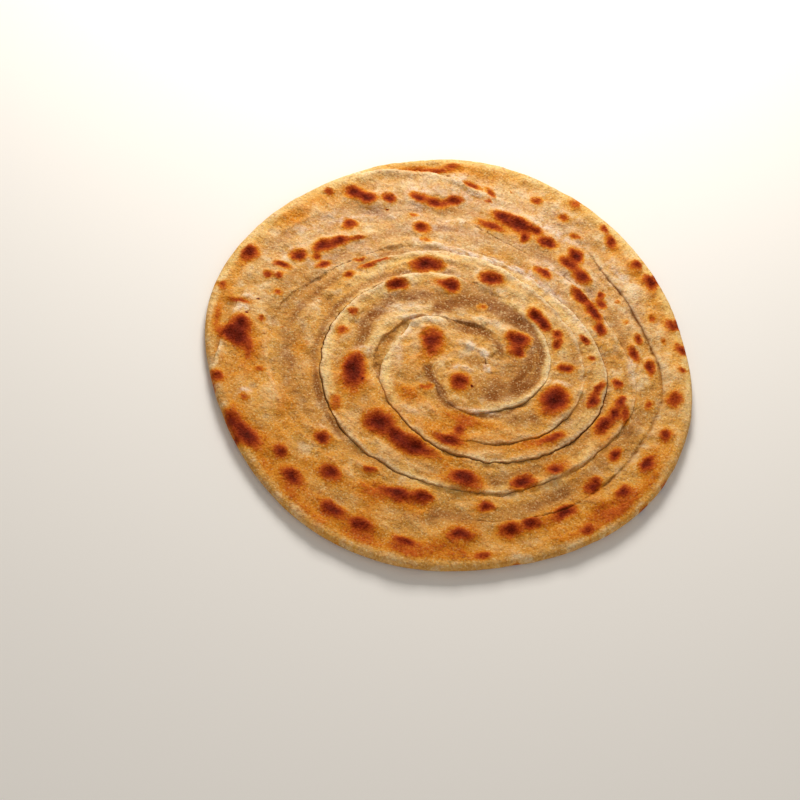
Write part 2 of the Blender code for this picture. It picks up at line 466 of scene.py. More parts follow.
@dataclass(frozen=True)
class Coil:
    """The wound dough: its middle, its folds and the shape of a fold across its length.

    Bells across a fold are given as places and widths in millimetres. lean is how far a lip hangs over
    for each millimetre that it stands above the other side. crack_shade and gap_shade set the painted
    shade in a crack and on a gap's floor, and the fields from lip_place to least_face set the painted
    highlight along a raised lip's sharp edge.
    """

    middle: tuple[float, float] = (5.27, -1.04)
    folds: tuple[Fold, ...] = (INNER_FOLD, OUTER_FOLD, SIDE_FOLD, TEAR)
    least: tuple[float, ...] = (0.5, 0.2, 0.15, 0.5)
    crack_depth: float = 0.7
    crack_place: float = 0.08
    gap_depth: float = 0.7
    full_gap: float = 0.8
    rounded_depth: float = 0.38
    rounded_width: float = 0.7
    crest_height: float = 0.22
    crest_place: float = 1.3
    crest_width: float = 0.9
    crest_most: float = 1.2
    lean: float = 0.30
    lean_limits: tuple[float, float] = (-1, 1.3)
    lean_place: float = 0.45
    lean_width: float = 0.4
    lip_place: float = 0.6
    lip_width: float = 0.55
    lip_reach: float = 0.3
    lip_face: float = 0.25
    least_face: float = 0.03
    crack_shade: float = 1.1
    gap_shade: float = 0.25

    def crossings(self, angle: Array) -> list[Crossing]:
        """Every crossing of every fold by rays from the middle."""
        return [c for fold in self.folds for c in fold.crossings(angle)]

    def section(self, past: Array, at: Crossing) -> tuple[Array, Array, Array, Array]:
        """The height of a fold's two sides, the crack between them and the lean of its lips.

        Inside the fold the height is inner * exp(past / fall), outside it outer * exp(-past / spill),
        and they meet in a steep face as wide as the edge. A crack is a narrow bell cut into the face,
        and a gap is a flat floor between two steep sides. A raised lip is rounded off and has a low
        crest behind it. It leans over as a bell of sideways shift, which leaves a thin shadow under it.
        The crack and the gap's floor also get painted shade, and the raised lip's sharp edge a painted
        highlight, for the finish to darken and lighten.

        Args:
            past: Distance outwards past the fold, square to it.
            at: The crossing, whose arrays match the first axis of past.

        Returns:
            The height, the outward shift, the painted shade in the crack and on the gap's floor from 0 to
            1, and the painted highlight on the sharp edge of the raised side from 0 to 1.
        """
        inner, outer, crack, gap = (v[:, None] for v in (at.inner, at.outer, at.crack, at.gap))
        fall, face, width, spill = (
            np.maximum(value, least)[:, None]
            for value, least in zip((at.fall, at.face, at.width, at.spill), self.least)
        )
        step = inner - outer
        inside, beyond = np.minimum(past, 0), past - gap
        outside = ramp(-face, face, past)
        floor = outside * (1 - ramp(-face, face, beyond)) * np.clip(gap / self.full_gap, 0, 1)
        cut = crack * bell(past - self.crack_place, width)
        rounded = np.clip(inner, 0, 1) * bell(inside, self.rounded_width) * (1 - outside)
        crest = np.clip(np.abs(step), 0, self.crest_most) * (inner > 0)
        crest = crest * bell(past + self.crest_place, self.crest_width)

        height = inner * np.exp(inside / fall) * (1 - outside)
        height += outer * np.exp(-np.maximum(beyond, 0) / spill) * outside
        height += self.crest_height * crest - self.rounded_depth * rounded
        height -= self.gap_depth * floor + self.crack_depth * cut

        hang = bell(past + self.lean_place * np.sign(step), self.lean_width)
        shift = self.lean * np.clip(step, *self.lean_limits) * hang
        # Painted shade for the finish: darker in the crack and on the gap's floor.
        shadow = np.clip(self.crack_shade * cut + self.gap_shade * floor, 0, 1)
        # Painted highlight along the sharp edge of a raised lip.
        lip = np.zeros_like(past)
        for way, place in ((1, past), (-1, beyond)):
            raised = np.clip(way * step, 0, 1) * (way * place < self.lip_reach)
            lip += raised * bell(way * place + self.lip_place, self.lip_width)
        return height, shift, shadow, lip * self.lip_face / (face + self.least_face)


@dataclass(frozen=True)
class Outline:
    """The rolled-out edge: a circle with waves, each with its count, height and angle of first crest."""

    mean_radius: float = 90.8
    waves: tuple[tuple[int, float, float], ...] = (
        (2, 0.37, -144.0),
        (3, 0.53, -81.0),
        (4, 1.26, -48.0),
        (5, 0.52, 173.0),
    )
    samples: int = 1440

    def radius(self, angle: Array) -> Array:
        """Follows the outline, mean + sum of height * cos(count * angle - crest).

        Args:
            angle: Directions from the outline's own middle.

        Returns:
            The edge's distance from that middle.
        """
        total = np.full_like(angle, self.mean_radius)
        for count, height, crest in self.waves:
            total = total + height * np.cos(count * angle - math.radians(crest))
        return total

    def box_middle(self) -> Array:
        """Finds the middle of the outline's box.

        Returns:
            Its x and y from the outline's own middle.
        """
        angle = np.linspace(0, math.tau, self.samples, endpoint=False)
        points = self.radius(angle) * np.stack((np.cos(angle), np.sin(angle)))
        return (points.min(axis=1) + points.max(axis=1)) / 2

    def distance_from(self, start: tuple[float, float], angle: Array) -> Array:
        """Distance to the edge along rays from a point of the bread.

        The ray meets a circle of the outline's radius at sqrt(radius^2 - aside^2) - along, and as that
        radius depends on the meeting point, it is found again a few times.

        Args:
            start: Where the rays start, in the bread's frame.
            angle: Their directions.

        Returns:
            The distance along each ray.
        """
        origin = np.asarray(start) + self.box_middle()
        ray = np.stack((np.cos(angle), np.sin(angle)))
        along = ray[0] * origin[0] + ray[1] * origin[1]
        aside = ray[0] * origin[1] - ray[1] * origin[0]
        distance = np.full_like(angle, self.mean_radius)
        for _ in range(5):
            meeting = origin[:, None] + distance * ray
            radius = self.radius(np.arctan2(meeting[1], meeting[0]))
            distance = np.sqrt(radius**2 - aside**2) - along
        return distance


# ---------------------------------------------------------------- marks of the griddle


@dataclass(frozen=True)
class Mark:
    """A patch on the bread, an oval with soft and ragged edges.

    Its middle, length and width are in millimetres and its turn in degrees.
    """

    x: float
    y: float
    length: float
    width: float
    turn: float
    strength: float


def marks(*rows: tuple[float, ...]) -> tuple[Mark, ...]:
    """Makes marks from rows of x, y, length, width, turn and strength."""
    return tuple(Mark(*row) for row in rows)


def spread(patches: tuple[Mark, ...], x: Array, y: Array, core: float, edge: float) -> Array:
    """Lays oval patches over the bread and says how strong they are together.

    A place's distance from a patch is the length of its turned and scaled offset, 1 on the oval. The
    patch is whole up to core, gone from edge outwards and smooth between. Where patches overlap, what
    each leaves is multiplied.

    Args:
        patches: The ovals.
        x, y: Places to read, in millimetres.
        core: Distance up to which a patch is whole.
        edge: Distance from which it is gone.

    Returns:
        The strength at each place.
    """
    left = np.ones_like(x)
    for patch in patches:
        reach = patch.length / 2 * edge
        near = (np.abs(x - patch.x) < reach) & (np.abs(y - patch.y) < reach)
        cos, sin = math.cos(math.radians(patch.turn)), math.sin(math.radians(patch.turn))
        dx, dy = x[near] - patch.x, y[near] - patch.y
        along = (dx * cos + dy * sin) / (patch.length / 2)
        across = (dy * cos - dx * sin) / (patch.width / 2)
        left[near] *= 1 - patch.strength * (1 - ramp(core, edge, np.hypot(along, across)))
    return 1 - left


@dataclass(frozen=True)
class Band:
    """A soft stripe that follows the coil's winding.

    radii holds its distance from the coil's middle at first_twelfth and at each step of twelfths after
    it. half is half its width in millimetres. whole and gone are the distances from its course, in
    half widths, at which it starts to fade and has faded, and ease is the length of its ends.
    """

    first_twelfth: float
    step: float
    half: float
    strength: float
    radii: tuple[float, ...]
    whole: float = 0.3
    gone: float = 1.4
    ease: float = 0.5

    def share(self, angle: Array, distance: Array) -> Array:
        """How strong the stripe is at places round the coil's middle. It is less than a turn long.

        Args:
            angle: Directions of the places.
            distance: How far they are from the middle.

        Returns:
            The strength at each place.
        """
        along = (angle / TWELFTH - self.first_twelfth) % 12
        length = self.step * (len(self.radii) - 1)
        course = smooth_through(self.radii, along / self.step)
        across = np.abs(distance - course) / self.half
        ends = ramp(0, self.ease, along) * (1 - ramp(length - self.ease, length, along))
        return self.strength * (1 - ramp(self.whole, self.gone, across)) * ends


def banded(bands: tuple[Band, ...], angle: Array, distance: Array) -> Array:
    """How strong stripes are together at places round the coil's middle."""
    return either(*(band.share(angle, distance) for band in bands))


# Sunken bands of plain dough between the folds, coloured raw partly as undercooked dough and partly as
# painted shade in the hollows.
HOLLOWS = (
    Band(-2.2, 1.0, 3.9, 0.92, (18.0, 20.5, 25.0, 28.0, 27.0, 25.2, 23.0, 20.0)),
    Band(0.2, 1.0, 1.7, 0.80, (13.4, 13.4, 13.5, 14.0, 15.8)),
    Band(3.9, 0.5, 3.0, 0.75, (27.0, 31.0, 34.5, 36.5, 38.5, 38.5, 41.0, 44.0)),
    Band(6.7, 0.7, 2.3, 0.95, (15.4, 15.8, 18.0, 22.4, 25.2, 26.8, 29.0)),
    Band(-1.4, 1.0, 1.9, 0.60, (57.0, 53.8, 49.5, 46.0, 45.4, 48.0, 53.0, 61.0, 70.0)),
    Band(3.2, 0.8, 1.5, 0.65, (35.4, 39.8, 44.2, 50.4, 54.8, 57.4, 59.4)),
    Band(3.0, 1.0, 2.6, 0.50, (57.0, 59.5, 65.0, 76.0)),
    Band(2.0, 1.0, 2.6, 0.50, (62.5, 66.0, 69.8, 77.0)),
    Band(-0.8, 0.8, 1.4, 0.40, (56.4, 60.0, 62.0, 59.4, 57.4, 56.8, 58.6)),
    Band(9.9, 0.6, 2.6, 0.65, (29.5, 33.0, 36.0, 39.0)),
    Band(5.9, 0.5, 3.4, 0.55, (61.0, 65.0, 66.5, 66.0)),
    Band(2.6, 1.0, 2.2, 0.45, (71.5, 75.5, 80.0, 86.0)),
    Band(7.6, 1.0, 3.2, 0.60, (44.0, 49.0, 53.0, 52.0, 50.0, 50.0)),
    Band(8.0, 1.0, 3.0, 0.55, (70.0, 68.0, 66.0, 65.0, 66.0)),
)

# Buttered crests along the folds.
LIPS = (
    Band(4.0, 0.5, 1.7, 0.90, (15.0, 18.6, 21.8, 24.0, 26.4, 29.0, 31.4, 33.0, 34.0)),
    Band(3.2, 0.6, 2.2, 0.80, (31.5, 35.6, 38.2, 41.0, 45.0, 49.0, 52.2, 54.0)),
    Band(0.4, 1.0, 2.2, 0.65, (46.6, 43.0, 41.6, 43.4, 47.4, 50.6)),
    Band(9.6, 1.0, 1.4, 0.70, (23.4, 26.8, 30.4, 31.6, 30.6, 28.8)),
    Band(4.2, 0.8, 2.0, 0.55, (23.6, 27.6, 32.6, 36.0)),
    Band(0.2, 1.0, 3.0, 0.45, (37.6, 36.4, 36.0, 34.0)),
    Band(10.8, 1.0, 2.2, 0.55, (48.6, 50.4, 48.8, 45.0)),
    Band(8.2, 1.0, 2.0, 0.55, (56.0, 56.0, 57.0, 58.6, 61.0)),
)

# Where the dough was pressed against the griddle and charred.
SCORCHES = marks(
    # The middle of the coil.
    (-7.4, 2, 9, 8.4, 90, 0.95), (-7, -2.8, 4.5, 3.4, 80, 0.45), (5.2, -12.8, 6.4, 6, 0, 0.9),
    (-6, -18, 4.6, 3.6, 20, 0.62), (23.5, 10.8, 9, 6.6, 0, 0.98), (23.8, 5.4, 5.6, 4.6, -30, 0.84),
    (41, -12.5, 11, 8.4, 74, 1.1), (42.4, 3.2, 7.2, 4.4, 18, 0.9), (28.6, 22.6, 8, 5.4, -28, 0.95),
    (32.2, 19.4, 5.6, 4.2, -50, 0.92), (37.3, 16.6, 4.2, 3.4, 80, 0.74), (38.6, 12.4, 4.4, 3.2, 90, 0.72),
    (47.8, 16.5, 5, 3.2, -32, 0.8), (52, 9.8, 3.6, 3.2, 0, 0.72), (9.4, 35, 9, 6.4, 6, 0.97),
    (54.4, -8.4, 6.6, 4.2, 74, 0.97), (56, -2.8, 7, 3, 70, 0.8), (5, -39, 9.4, 3.6, -5, 0.84),
    (8.6, -34, 5, 3, 70, 0.7), (-20.5, -38, 9, 7, -22, 0.98), (-13, -41.6, 6.6, 5, -25, 0.92),
    (-5.5, -44.6, 13, 4.6, -14, 0.86), (-24.8, 23.4, 8.8, 5.6, 26, 0.97), (-5.2, 28.2, 8.2, 6.4, 10, 0.94),
    (-16, 35.6, 13.6, 7.2, 18, 1), (-33.2, -18, 13.4, 7.2, 95, 1), (-38.6, -48.4, 5.6, 5.2, 0, 0.9),
    (8.4, 22, 4.6, 3.6, 20, 0.5), (-38.6, 6.8, 4, 3.6, 0, 0.62), (-40.6, -1.8, 4.2, 3.2, 0, 0.55),
    # The right side.
    (62.6, 1.2, 4.2, 3.8, 0, 0.85), (64.3, -6.4, 6, 3, 82, 0.86), (62.9, -12.4, 5.6, 3.2, 80, 0.86),
    (67, -11.8, 7, 3, 97, 0.7), (59.6, -18, 7, 4.4, 60, 0.82), (75, -5, 5.6, 3.2, 80, 0.7),
    (73.8, 11.6, 7.4, 3.6, -76, 0.86), (67.2, 16.2, 8, 3.2, -62, 0.86), (68, 23.4, 4.8, 3.2, -58, 0.75),
    (44.2, 36.8, 9, 4, -38, 0.9), (50, 30.4, 9, 4.8, -52, 0.96), (53.4, 23.6, 5.4, 4, -70, 0.92),
    (51.6, 40.4, 4, 3, 70, 0.74), (51.9, 36.3, 5.6, 3.8, -40, 0.86), (28.2, 44, 8, 5, -30, 0.86),
    (62.4, 29.4, 3, 2.2, -60, 0.55), (58, 38.4, 2.8, 2.2, 0, 0.45), (71.6, 34.2, 4.6, 2.8, -62, 0.62),
    (77, 24.6, 3.4, 2.4, -60, 0.5), (42.2, -28.8, 9.5, 3.2, 33, 0.62),
    # The right rim.
    (48.4, 71.6, 5, 3.8, -55, 0.8), (51.6, 65.8, 6.6, 3.8, -62, 0.82), (63.1, 57.4, 4.4, 4, 0, 0.8),
    (69.4, 50.4, 7.2, 4.4, -66, 0.88), (79.6, 32.8, 4.8, 3.6, -55, 0.82), (84.3, 22.4, 6, 3.8, -70, 0.84),
    (86, 13, 4.4, 2.6, 0, 0.62), (84, -0.4, 6.6, 5.4, 50, 0.66),
    # The top.
    (-48.6, 63.2, 7.6, 5.2, -8, 0.97), (-43.2, 62, 7.2, 5.6, -8, 1), (-35, 63.8, 6, 4.4, -8, 0.9),
    (-24.2, 67.4, 6.6, 5.6, 10, 0.95), (-17, 66.8, 9, 5.2, 4, 0.9), (-10.4, 69.6, 7.2, 4.6, 30, 0.9),
    (-20.6, 52.4, 7.6, 5.2, 0, 0.9), (-24.2, 58.6, 3.8, 2.4, 0, 0.68), (-17.8, 46.8, 4.4, 3.4, 0, 0.55),
    (9.4, 66.2, 9, 5.4, -8, 0.94), (16.4, 64, 9.6, 6, -12, 1.02), (23.2, 63.6, 4.8, 3.8, 0, 0.9),
    (5.4, 60.8, 11, 4.4, -4, 0.86), (19.2, 58.2, 5.8, 4.2, 65, 0.86), (27.8, 58.9, 7.6, 5.6, -6, 0.98),
    (39.6, 55.8, 8, 5.4, -68, 0.98), (37.4, 50.6, 8, 5, -30, 0.92), (43, 46, 8, 5.4, -42, 0.96),
    (-4.6, 78.2, 6.6, 3, -8, 0.74), (2.8, 76.8, 5, 3.2, -50, 0.7), (2.6, 72.2, 2.8, 2.2, 0, 0.64),
    (20.8, 78, 5.6, 3.2, 10, 0.66), (32, 72.8, 5, 4.2, -20, 0.66), (38, 65.4, 5.6, 2.8, -24, 0.62),
    (35.6, 80.2, 5.6, 4.4, -20, 0.55), (-14.4, 85.4, 4.6, 2.8, 8, 0.6), (-19, 82, 11, 2.4, 8, 0.62),
    # The upper left.
    (-47.6, 47.6, 6.2, 5.4, 40, 0.86), (-55.4, 35, 8.4, 5.6, 42, 0.96), (-49.6, 39, 8.4, 4, 30, 0.92),
    (-42.8, 41.8, 7.4, 2.2, 20, 0.66), (-63.2, 28, 6, 5.2, 20, 0.95), (-56.6, 29.4, 4.8, 3.6, 60, 0.76),
    (-53.2, 26.6, 6.6, 4, 38, 0.86), (-40.6, 31.4, 4.8, 2.4, 38, 0.68), (-36.8, 29.6, 8, 2.8, 38, 0.72),
    (-31.4, 33.8, 6.8, 1.9, 34, 0.66), (-42.8, 23.6, 4.2, 3.2, 40, 0.66), (-58.6, 61.4, 3.8, 3.2, 0, 0.55),
    (-68.2, 21.8, 6.6, 3, 0, 0.86), (-72.4, 16.8, 3.8, 3.2, 0, 0.76), (-68, 17, 3.4, 2.8, 0, 0.76),
    # The left rim.
    (-81, 24.2, 6.8, 5.8, 80, 0.86), (-67.4, 8.8, 4, 3.2, 40, 0.56), (-88.4, 7.2, 3.8, 3.4, 0, 0.56),
    (-90, 3, 2, 1.8, 0, 0.66), (-70.8, -3.4, 3.2, 2.8, 0, 0.62), (-78, -8.2, 7.4, 7, 90, 0.96),
    (-81, -12.6, 7.2, 6.4, 0, 0.97), (-76.6, -13.6, 7.6, 7, -60, 0.98), (-72.7, -18.4, 6.4, 2, -80, 0.4),
    (-80.6, -32.6, 5.6, 3.6, -55, 0.84), (-69, -38.4, 3.8, 3, 0, 0.52), (-72, -49.4, 9, 5, -45, 0.93),
    (-66, -54.4, 9, 5.4, -38, 0.95), (-80.2, 2.2, 8, 2.4, -5, 0.62), (-66.8, -25.2, 3, 2.4, 0, 0.45),
    # The lower edge, towards the viewer.
    (-52, -58, 6, 4.2, -30, 0.84), (-46, -66.4, 8.4, 4.4, -36, 0.92), (-33, -61.6, 6.4, 5, -20, 0.9),
    (-28.6, -76.4, 9.4, 5, -22, 0.94), (-19.4, -79.4, 7, 4, -14, 0.86), (-20, -57.6, 4.6, 3.4, 0, 0.7),
    (-8.6, -64.8, 11, 4.6, -8, 0.95), (0.4, -63.8, 6.2, 4.4, 10, 0.9), (-2, -82.6, 7, 4.2, 0, 0.88),
    (12.8, -53, 7.4, 5.6, 10, 0.95), (15.6, -75.8, 8.8, 4.8, 8, 0.9), (23.4, -62.6, 6, 4, 20, 0.82),
    (33.8, -49.4, 8, 5.2, 30, 0.94), (33, -69.6, 7, 5, 26, 0.92), (39.6, -65.2, 6.4, 3.8, 36, 0.86),
    (45, -41.4, 5.4, 3.8, 44, 0.84), (51, -57.4, 8.6, 4.6, 48, 0.94), (59.4, -43.6, 6.4, 4.2, 50, 0.86),
    (65.6, -29.6, 6.2, 3.6, 62, 0.84), (70.6, -44, 5.6, 3.8, 58, 0.84), (77.4, -30.4, 7.6, 4, 66, 0.9),
    (82.4, -16.6, 5, 3.4, 76, 0.76), (25, -82, 4.4, 3, 16, 0.66), (60, -62.6, 4.2, 3.2, 45, 0.66),
)

# Burnt crumbs.
SPECKS = marks(
    (9.9, -13.8, 1.3, 1.3, 0, 1.2), (-73.8, 4.7, 0.9, 0.9, 0, 1.2), (-76.6, -2.2, 0.8, 0.8, 0, 1.1),
    (-51.6, 10.7, 0.7, 1.1, 0, 1.1), (-62.7, -5, 0.7, 0.7, 0, 1.1), (-54.8, 58.5, 1.1, 1.1, 0, 1.2),
    (-34.8, 58.6, 1.6, 1.1, 0, 1.1), (23.8, 41.3, 1, 1, 0, 1.1), (10.6, 79.9, 0.8, 0.8, 0, 1),
    (-66.6, -16, 0.5, 1, 0, 1), (-29.4, -21, 0.8, 0.8, 0, 1), (-73.6, 35.8, 0.6, 0.6, 0, 1),
)

# Dough fried golden, most of it round the scorches and along the rim.
TOASTED = marks(
    # The left and top edges, and the groove at the top.
    (-71, 46, 38, 19, 52, 0.55), (-56, 60, 26, 10, 36, 0.45), (-85, 13, 34, 8, 84, 0.55),
    (-2, 86.5, 62, 9, 1, 0.55), (34, 80.5, 28, 8, -22, 0.5), (-29, 81, 36, 5, 14, 1.15),
    (-87.5, -6, 22, 5, -84, 0.75), (-62, 33, 18, 8, 40, 0.25), (-78, 3, 12, 4, 0, 0.4),
    (82, 26, 62, 10, -68, 0.35), (60, 56, 34, 9, -48, 0.35), (71, 42, 30, 7, -58, 0.3),
    # The middle.
    (13, -28.4, 23, 7.5, -3, 0.72), (-4, -35, 22, 6, -20, 0.2), (2, -33, 12, 4, -4, 0.3),
    (23, 31.8, 16, 4, -24, 0.45), (0, 40.4, 20, 3.4, -4, 0.45), (-35, 14, 14, 8, 50, 0.6),
    (-14, 29, 10, 6, 15, 0.5), (-42, -2, 16, 4.4, 88, 0.45), (-12, -23, 14, 9, -20, 0.45),
    (5, -16, 9, 6, 0, 0.45), (-37, -33, 5, 10, 8, 0.55), (-55, -13, 7, 9, 0, 0.4),
    (-8, -4, 12, 9, 60, 0.35), (24, 8, 13, 15, 0, 0.35), (41, -13, 17, 15, 74, 0.35),
    (-33, -18, 17, 12, 95, 0.35), (-20, -38, 14, 12, -22, 0.35), (-6, -45, 26, 9, -16, 0.55),
    (30, 21, 14, 11, -38, 0.35), (38.5, 14, 8, 12, 0, 0.35), (39, -29.5, 22, 5, 34, 0.6),
    (62, -13, 26, 10, 74, 0.45), (-67, -24, 30, 14, -70, 0.3), (-40, 26, 26, 9, 38, 0.25),
    (48, 30, 26, 9, -54, 0.3), (16, 62, 34, 12, -10, 0.25), (-46, 46, 12, 11, 0, 0.2),
    # The side towards the viewer.
    (0, -84, 110, 11, 0, 0.45), (66, -56, 60, 12, 44, 0.45), (-58, -66, 60, 12, -44, 0.45),
    (12, -54, 34, 9, 4, 0.35), (-10, -66, 40, 9, -4, 0.35), (42, -44, 26, 8, 40, 0.35),
    (-68, -50, 26, 14, -45, 0.4), (-36, -62, 26, 10, -26, 0.3), (34, -70, 30, 9, 26, 0.3),
)

# Undercooked dough that never touched the griddle.
RAW = marks(
    (27, -3, 34, 17, 74, 0.95), (16, -13.5, 22, 13, 10, 0.8), (12, 23, 46, 9, -24, 1),
    (-12, 20.5, 18, 6, 18, 0.65), (5, 10.4, 17, 4.4, 0, 0.95), (9, -2.6, 10, 5, 0, 0.8),
    (-33, 5, 24, 8, 82, 0.6), (-29, -29, 26, 9, -62, 0.7), (-10, -13, 12, 9, 40, 0.45),
    (-18, -12, 24, 7, 100, 0.4), (6, -23, 22, 4, -4, 0.7), (20, -37, 46, 6, 14, 0.9),
    (34, -24, 18, 5, 38, 0.6), (44, 8, 30, 8, -84, 0.55), (48, -18, 20, 6, 66, 0.5),
    (-55, -5, 46, 10, 92, 0.32), (-61, 12, 22, 8, 52, 0.32), (-46, 32, 36, 5, 33, 0.45),
    (-21, 56, 36, 6, 8, 0.34), (4, 53, 46, 7, -7, 0.36), (-42, 56.5, 16, 5, 16, 0.65),
    (32, 48, 24, 5, -34, 0.5), (55, 36, 18, 8, -48, 0.26), (24, 70, 40, 7, -22, 0.3),
    (42, 64, 16, 7, -42, 0.34), (-46, -32, 34, 12, -58, 0.55), (-73, -40, 24, 10, -58, 0.45),
    (-66, 5, 26, 6, 84, 0.3), (34, 60, 12, 6, -40, 0.4), (0, -70, 80, 8, 0, 0.55),
    (46, -54, 44, 8, 44, 0.55), (-46, -60, 44, 8, -36, 0.55), (72, -14, 30, 6, 76, 0.5),
    (24, -52, 30, 6, 20, 0.5), (-12, -54, 26, 6, -12, 0.5),
)

# Flakes and streaks of dry flour.
FLOURY = marks(
    (-17.4, 4, 11, 3, 62, 0.85), (-9.5, 10.8, 12, 2.6, 14, 0.85), (-19.6, -6, 9, 4, 105, 0.95),
    (-39.6, -44.6, 6.4, 4, 10, 0.75), (-79, -1, 6.6, 3.6, 20, 0.95), (-77.4, 4.8, 6, 2.6, 10, 0.85),
    (-69.6, -36, 4.6, 3.2, 10, 0.85), (40.6, -4.8, 10, 3.6, 6, 0.85), (-32.8, -8.8, 9, 3.8, 24, 0.75),
    (-10.8, -29.8, 8, 3, -12, 0.7), (-21.6, -33, 6, 2.6, 10, 0.65), (5.6, -7.2, 8, 3, 0, 0.75),
    (6.4, 3.4, 9, 3, -10, 1), (11.4, 2, 6, 3.2, -34, 1), (14.2, -4.4, 2.6, 5.4, 8, 0.95),
    (-8, 60, 10, 2.4, 18, 0.6), (-11, 80.4, 7, 5.4, 40, 0.75), (-3.6, 75.6, 16, 2, -14, 0.65),
    (-32.4, 56, 3.2, 2.6, 0, 0.7), (2, 44.6, 46, 3, -5, 0.85), (26, 38.6, 24, 3, -26, 0.6),
    (34, 45, 22, 4.6, -34, 0.4), (26, 66.6, 30, 4, -22, 0.45), (-45, 51.4, 16, 4, 22, 0.45),
    (44, 25, 14, 4, -45, 0.45), (-20, 14.2, 18, 4, 16, 0.55), (14, 15.4, 18, 3, -6, 0.4),
    (14, -24, 15, 2, 4, 0.7), (67, 9, 12, 3, -80, 0.45), (-14, 11.2, 15, 3, 14, 0.75),
    (-12, 6, 3, 9, 20, 0.5), (-60, 45, 26, 6, 40, 0.25), (-15, 73, 40, 5, 4, 0.3),
    (36, 33, 10, 4, -40, 0.35), (56, 54, 12, 5, -55, 0.35), (-66, 29, 12, 5, 50, 0.35),
    (-42, -13, 3, 20, -6, 0.3),
)


# ---------------------------------------------------------------- the bread's surface

# From where to where on the browning scale browned dough hides each of the other finishes.
BROWNED_OVER = {"raw": (0.40, 0.52), "butter": (0.44, 0.60), "pale": (0.34, 0.50), "lift": (0.40, 0.54)}


@dataclass(frozen=True)
class Sheet:
    """A grid of surface points, columns round by rings outwards, and what the finish needs at each."""

    points: Array
    finish: dict[str, Array]


@dataclass(frozen=True)
class Patches:
    """How strongly each kind of dough shows at places on the top side, from 0 to 1."""

    toasted: Array
    plain: Array
    butter: Array
    flour: Array
    dust_and_sheen: Array


@dataclass(frozen=True)
class Patchwork:
    """Where the top side is toasted, plain and undercooked, buttered, or floury.

    Pairs named fade are where an oval patch stops being whole and where it is gone, with 1 on the
    oval. Those named from are where something sets in and where it is whole, in millimetres. Plain
    patches are partly raw dough and partly painted shade in the hollows, the rim's butter is partly a
    painted highlight along the far rim, and the dust is pale dust with painted sheen, stronger
    towards the far side.
    """

    toasted_fade: tuple[float, float] = (0.3, 1.4)
    raw_fade: tuple[float, float] = (0.5, 1.4)
    flour_fade: tuple[float, float] = (0.4, 1.5)
    raw_share: float = 0.7
    band_waves: Bumps = Bumps(48, 6, 0.9)
    plain_share: float = 0.94
    plain_change: Bumps = Bumps(49, 4.5, 0.25)
    plain_lost: float = 0.7
    butter_lost: float = 0.6
    rim_butter_and_highlight: float = 0.9
    rim_butter_and_highlight_place: float = 1.5
    rim_butter_and_highlight_width: float = 3.0
    rim_butter_and_highlight_from: tuple[float, float] = (-30, 20)
    dust_and_sheen_share: float = 0.34
    dust_and_sheen_from: tuple[float, float] = (10, 45)
    dust_and_sheen_from_rim: tuple[float, float] = (3, 9)
    dust_and_sheen_change: Bumps = Bumps(86, 8, 0.5)
    halo_share: float = 0.4
    halo_fade: tuple[float, float] = (1.0, 2.1)
    halo_luck: Bumps = Bumps(85, 7)
    halo_lucky: tuple[float, float] = (-0.3, 0.5)

    def at(self, x: Array, y: Array, angle: Array, distance: Array, to_rim: Array) -> Patches:
        """Reads the patchwork.

        Args:
            x, y: Places on the bread.
            angle, distance: The same places round the coil's middle.
            to_rim: How far they are from the edge.

        Returns:
            The patches' strengths.
        """
        wavy = distance + self.band_waves.at(x, y)
        toasted = spread(TOASTED, x, y, *self.toasted_fade)
        plain = either(self.raw_share * spread(RAW, x, y, *self.raw_fade), banded(HOLLOWS, angle, wavy))
        plain = np.clip(plain * (self.plain_share + self.plain_change.at(x, y)), 0, 1)
        # Butter along the rim, partly a painted highlight on the far side, which faces the key lamp.
        at_rim = bell(to_rim - self.rim_butter_and_highlight_place, self.rim_butter_and_highlight_width) * ramp(*self.rim_butter_and_highlight_from, y)
        butter = either(banded(LIPS, angle, wavy), self.rim_butter_and_highlight * at_rim)
        # Pale dust and painted sheen, stronger towards the far side, which faces the key lamp.
        dust_and_sheen = self.dust_and_sheen_share * ramp(*self.dust_and_sheen_from, y) * ramp(*self.dust_and_sheen_from_rim, to_rim)
        dust_and_sheen = dust_and_sheen * (0.5 + self.dust_and_sheen_change.at(x, y)) * (1 - toasted)
        halo = spread(SCORCHES, x, y, *self.halo_fade) * ramp(*self.halo_lucky, self.halo_luck.at(x, y))
        return Patches(
            toasted=toasted,
            plain=plain * (1 - self.plain_lost * toasted),
            butter=butter * (1 - self.butter_lost * toasted),
            flour=spread(FLOURY, x, y, *self.flour_fade),
            dust_and_sheen=dust_and_sheen + self.halo_share * halo,
        )


